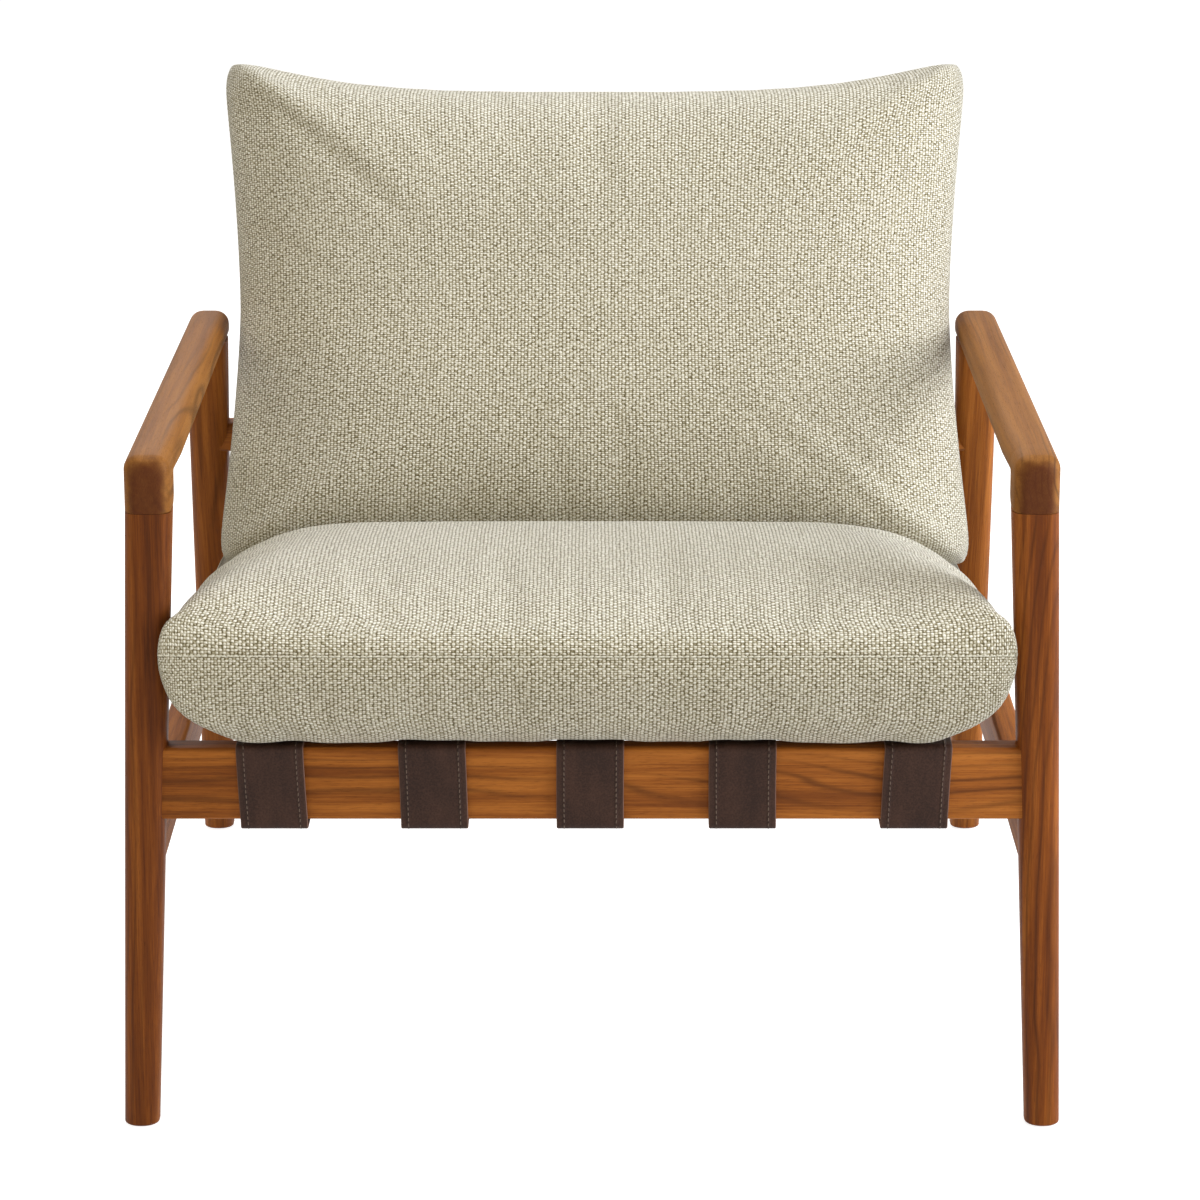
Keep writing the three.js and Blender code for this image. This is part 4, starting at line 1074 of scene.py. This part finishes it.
def add_zip(cushion, out):
    """A coil zip on a tape that follows the cushion's rear, with a slider at its left end."""
    name = f"{cushion.name}_zip"
    low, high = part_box(name)
    skin = skin_of(cushion.piece)
    across = out.cross(X)
    middle = (low + high) / 2

    def on_skin(x, width, proud):
        start = middle + X * x + across * width
        hit, _, _, _ = skin.ray_cast(start + out * 0.1, -out)
        return (hit or start) + out * proud

    half = (high.x - low.x) / 2
    columns = np.linspace(-half, half, 61)
    profile = [(share, ZIP_PROUD) for share in (-0.85, -0.3, 0.3, 0.85)]
    profile = [(-1, -0.6 * MM), *profile, (1, -0.6 * MM)]
    vertices = [on_skin(x, share * ZIP_WIDTH / 2, proud) for x in columns for share, proud in profile]
    count = len(profile)
    faces = []
    for column in range(len(columns) - 1):
        first = column * count
        faces.extend((a, a + 1, a + count + 1, a + count) for a in range(first, first + count - 1))
    make_piece(name, vertices, faces, ZIP_TAPE, cushion.name, [name])

    vertices, faces = [], []
    line = np.array([tuple(on_skin(x, 0, 0.8 * MM)) for x in columns])
    side = np.array([ZIP_PITCH * 0.36, 0, 0])
    for x in np.arange(-half + 3 * MM, half - 3 * MM, ZIP_PITCH):
        point = along_line(x, columns, line)
        add_stitch(vertices, faces, point, np.array(across) * 2.6 * MM, side, np.array(out) * 1.3 * MM)
    make_piece(f"{name}_coil", vertices, faces, ZIP_COIL, cushion.name)

    # the slider's body, then its pull: place, width, height, and how far each ring stands out
    vertices, faces = [], []
    for x, width, height, rings in [
        (-half + 12 * MM, 10 * MM, 9 * MM, [(0.4, 0.9), (1.0, 1.0), (3.0, 1.0), (3.8, 0.85)]),
        (-half + 26 * MM, 20 * MM, 6 * MM, [(1.9, 0.95), (2.2, 1.0), (2.9, 1.0), (3.2, 0.95)]),
    ]:
        spot = on_skin(x, 0, 0)
        shift = len(vertices)
        for proud, share in rings:
            outline = centred_outline(width * share, height * share, 2.4 * MM)
            vertices.extend(spot + X * a + across * b + out * proud * MM for a, b in outline)
        faces.extend(tuple(i + shift for i in face) for face in loft_faces(len(rings), len(outline)))
    make_piece(f"{name}_slider", vertices, faces, BRASS, cushion.name)


def add_cushions():
    run, rise = math.cos(SEAT_SLOPE), math.sin(SEAT_SLOPE)
    seat = SeatCushion(
        "seat_cushion", (0, -0.12152, 0.37014), (0, run, -rise), (0, rise, run),
        half_length=0.268, above=0.0585, below=0.0815, crown=0,
        corner=(0.004, 0.004, 14), powers={1: (9.5, 3.2), -1: (5.5, 16)},
    )
    back = BackCushion(
        "back_cushion", (0, 0.14806, 0.55731), LEAN_UP, -LEAN_BACK,
        half_length=0.2314, above=0.078, below=0.072, crown=0.006,
        corner=(0.024, 0.045, 24), powers={1: (5, 7), -1: (5, 6)},
    )
    seat.build(-3.5 * MM, ["seat_cushion_cover", "seat_cushion_core"])
    back.build(2.5 * MM, ["back_cushion_cover", "back_cushion_core"])
    seat.fill_out(cap=8 * MM, crease=0.7, swell=0.2)
    back.fill_out(cap=10 * MM, crease=0.4, swell=0.1)
    lie_on_straps(seat)
    lean_on_straps(back)
    press_down(seat)
    settle(seat, back)
    add_zip(seat, Vector(seat.axes[1]))
    add_zip(back, LEAN_BACK)
    for cushion in (seat, back):
        cushion.sew()
        smooth = cushion.piece.modifiers.new("smooth", "SUBSURF")
        smooth.levels = smooth.render_levels = 1


def make_camera():
    data = bpy.data.cameras.new("camera")
    data.sensor_width = 36
    data.lens = CAMERA_LENS
    data.shift_x = CAMERA_SHIFT_X
    camera = add_object("camera", data)
    camera.location = CAMERA_PLACE
    camera.rotation_euler = (math.radians(90 - CAMERA_PITCH_DEG), 0, 0)
    bpy.context.scene.camera = camera


def lamp(name, place, aim, size, power, colour=(1.0, 1.0, 1.0)):
    data = bpy.data.lights.new(name, "AREA")
    data.shape = "DISK"
    data.size = size
    data.energy = power
    data.color = colour
    light = add_object(name, data)
    light.location = place
    light.rotation_euler = (Vector((0, 0, aim)) - Vector(place)).to_track_quat("-Z", "Y").to_euler()


def shown_rays(finish):
    """1 for what the camera, a reflection or a look through glass sees, and 0 for other light."""
    rays = finish.node("LightPath", {}, "Is Camera Ray")
    outputs = rays.socket.node.outputs
    for other in ("Is Glossy Ray", "Is Transmission Ray"):
        rays = rays + Field(finish, outputs[other])
    return rays.rise(0.0, 1.0)


def make_studio():
    cool = (0.97, 1.0, 1.07)
    warm = (1.0, 0.9, 0.7)
    lamp("key", (2.85, -0.85, 1.95), 0.45, 2.0, 79, cool)
    lamp("side", (3.2, -1.2, 0.9), 0.4, 1.4, 50, cool)
    lamp("top", (-0.2, 0.0, 3.0), 0.45, 2.0, 40, cool)
    lamp("front", (0.4, -3.4, 0.6), 0.4, 1.8, 15, warm)
    lamp("fill", (-2.4, -1.6, 1.5), 0.4, 2.2, 18, warm)
    lamp("back", (-0.6, 2.2, 2.2), 0.5, 1.6, 14)
    sky = Finish("studio", world=True)
    bpy.context.scene.world = sky.material
    colour = sky.mix(shown_rays(sky), (0.3, 0.278, 0.235), (1.0, 1.0, 1.0))
    light = sky.node("Background", {"Color": colour})
    sky.node("OutputWorld", {"Surface": light})

    finish = Finish("studio_floor")
    matt = finish.node("BsdfDiffuse", {"Color": (0.65, 0.65, 0.65)})
    glow = finish.node("Emission", {"Color": (1.0, 1.0, 1.0), "Strength": 0.84})
    both = finish.node("AddShader", {0: matt, 1: glow})
    shown = finish.node("MixShader", {0: shown_rays(finish), 1: matt, 2: both})
    finish.node("OutputMaterial", {"Surface": shown})
    mesh = bpy.data.meshes.new("floor")
    mesh.from_pydata([(-30, -30, 0), (30, -30, 0), (30, 30, 0), (-30, 30, 0)], [], [(0, 1, 2, 3)])
    mesh.materials.append(finish.material)
    add_object("floor", mesh)


bpy.context.scene.view_settings.view_transform = "Standard"
make_camera()
make_studio()
looks = {
    "teak": TEAK, "strap_leather": LEATHER, "woven_fabric": FABRIC, "foam": FABRIC,
    "zip": ZIP_TAPE, "brass_screw": BRASS, "dowel": DOWEL, "glide": NYLON,
}
for part in frame["record"]["subparts"]:
    if part["node"] in frame["nodes"]:
        mesh = frame["nodes"][part["node"]].data
        mesh.materials.clear()
        mesh.materials.append(looks[part["material_slot"]])
# The right front leg takes the paler teak copy: painted light from the right side
for number, word in enumerate(SIDES):
    build_leg(f"{word}_front_leg", 10 + number, False, (LEG_TEAK, LIT_RIGHT_LEG_TEAK)[number])
    build_leg(f"{word}_back_leg", 20 + number, True, TEAK)
    build_arm(word, 30 + number)
build_rails()
build_straps()
build_screws()
add_cushions()
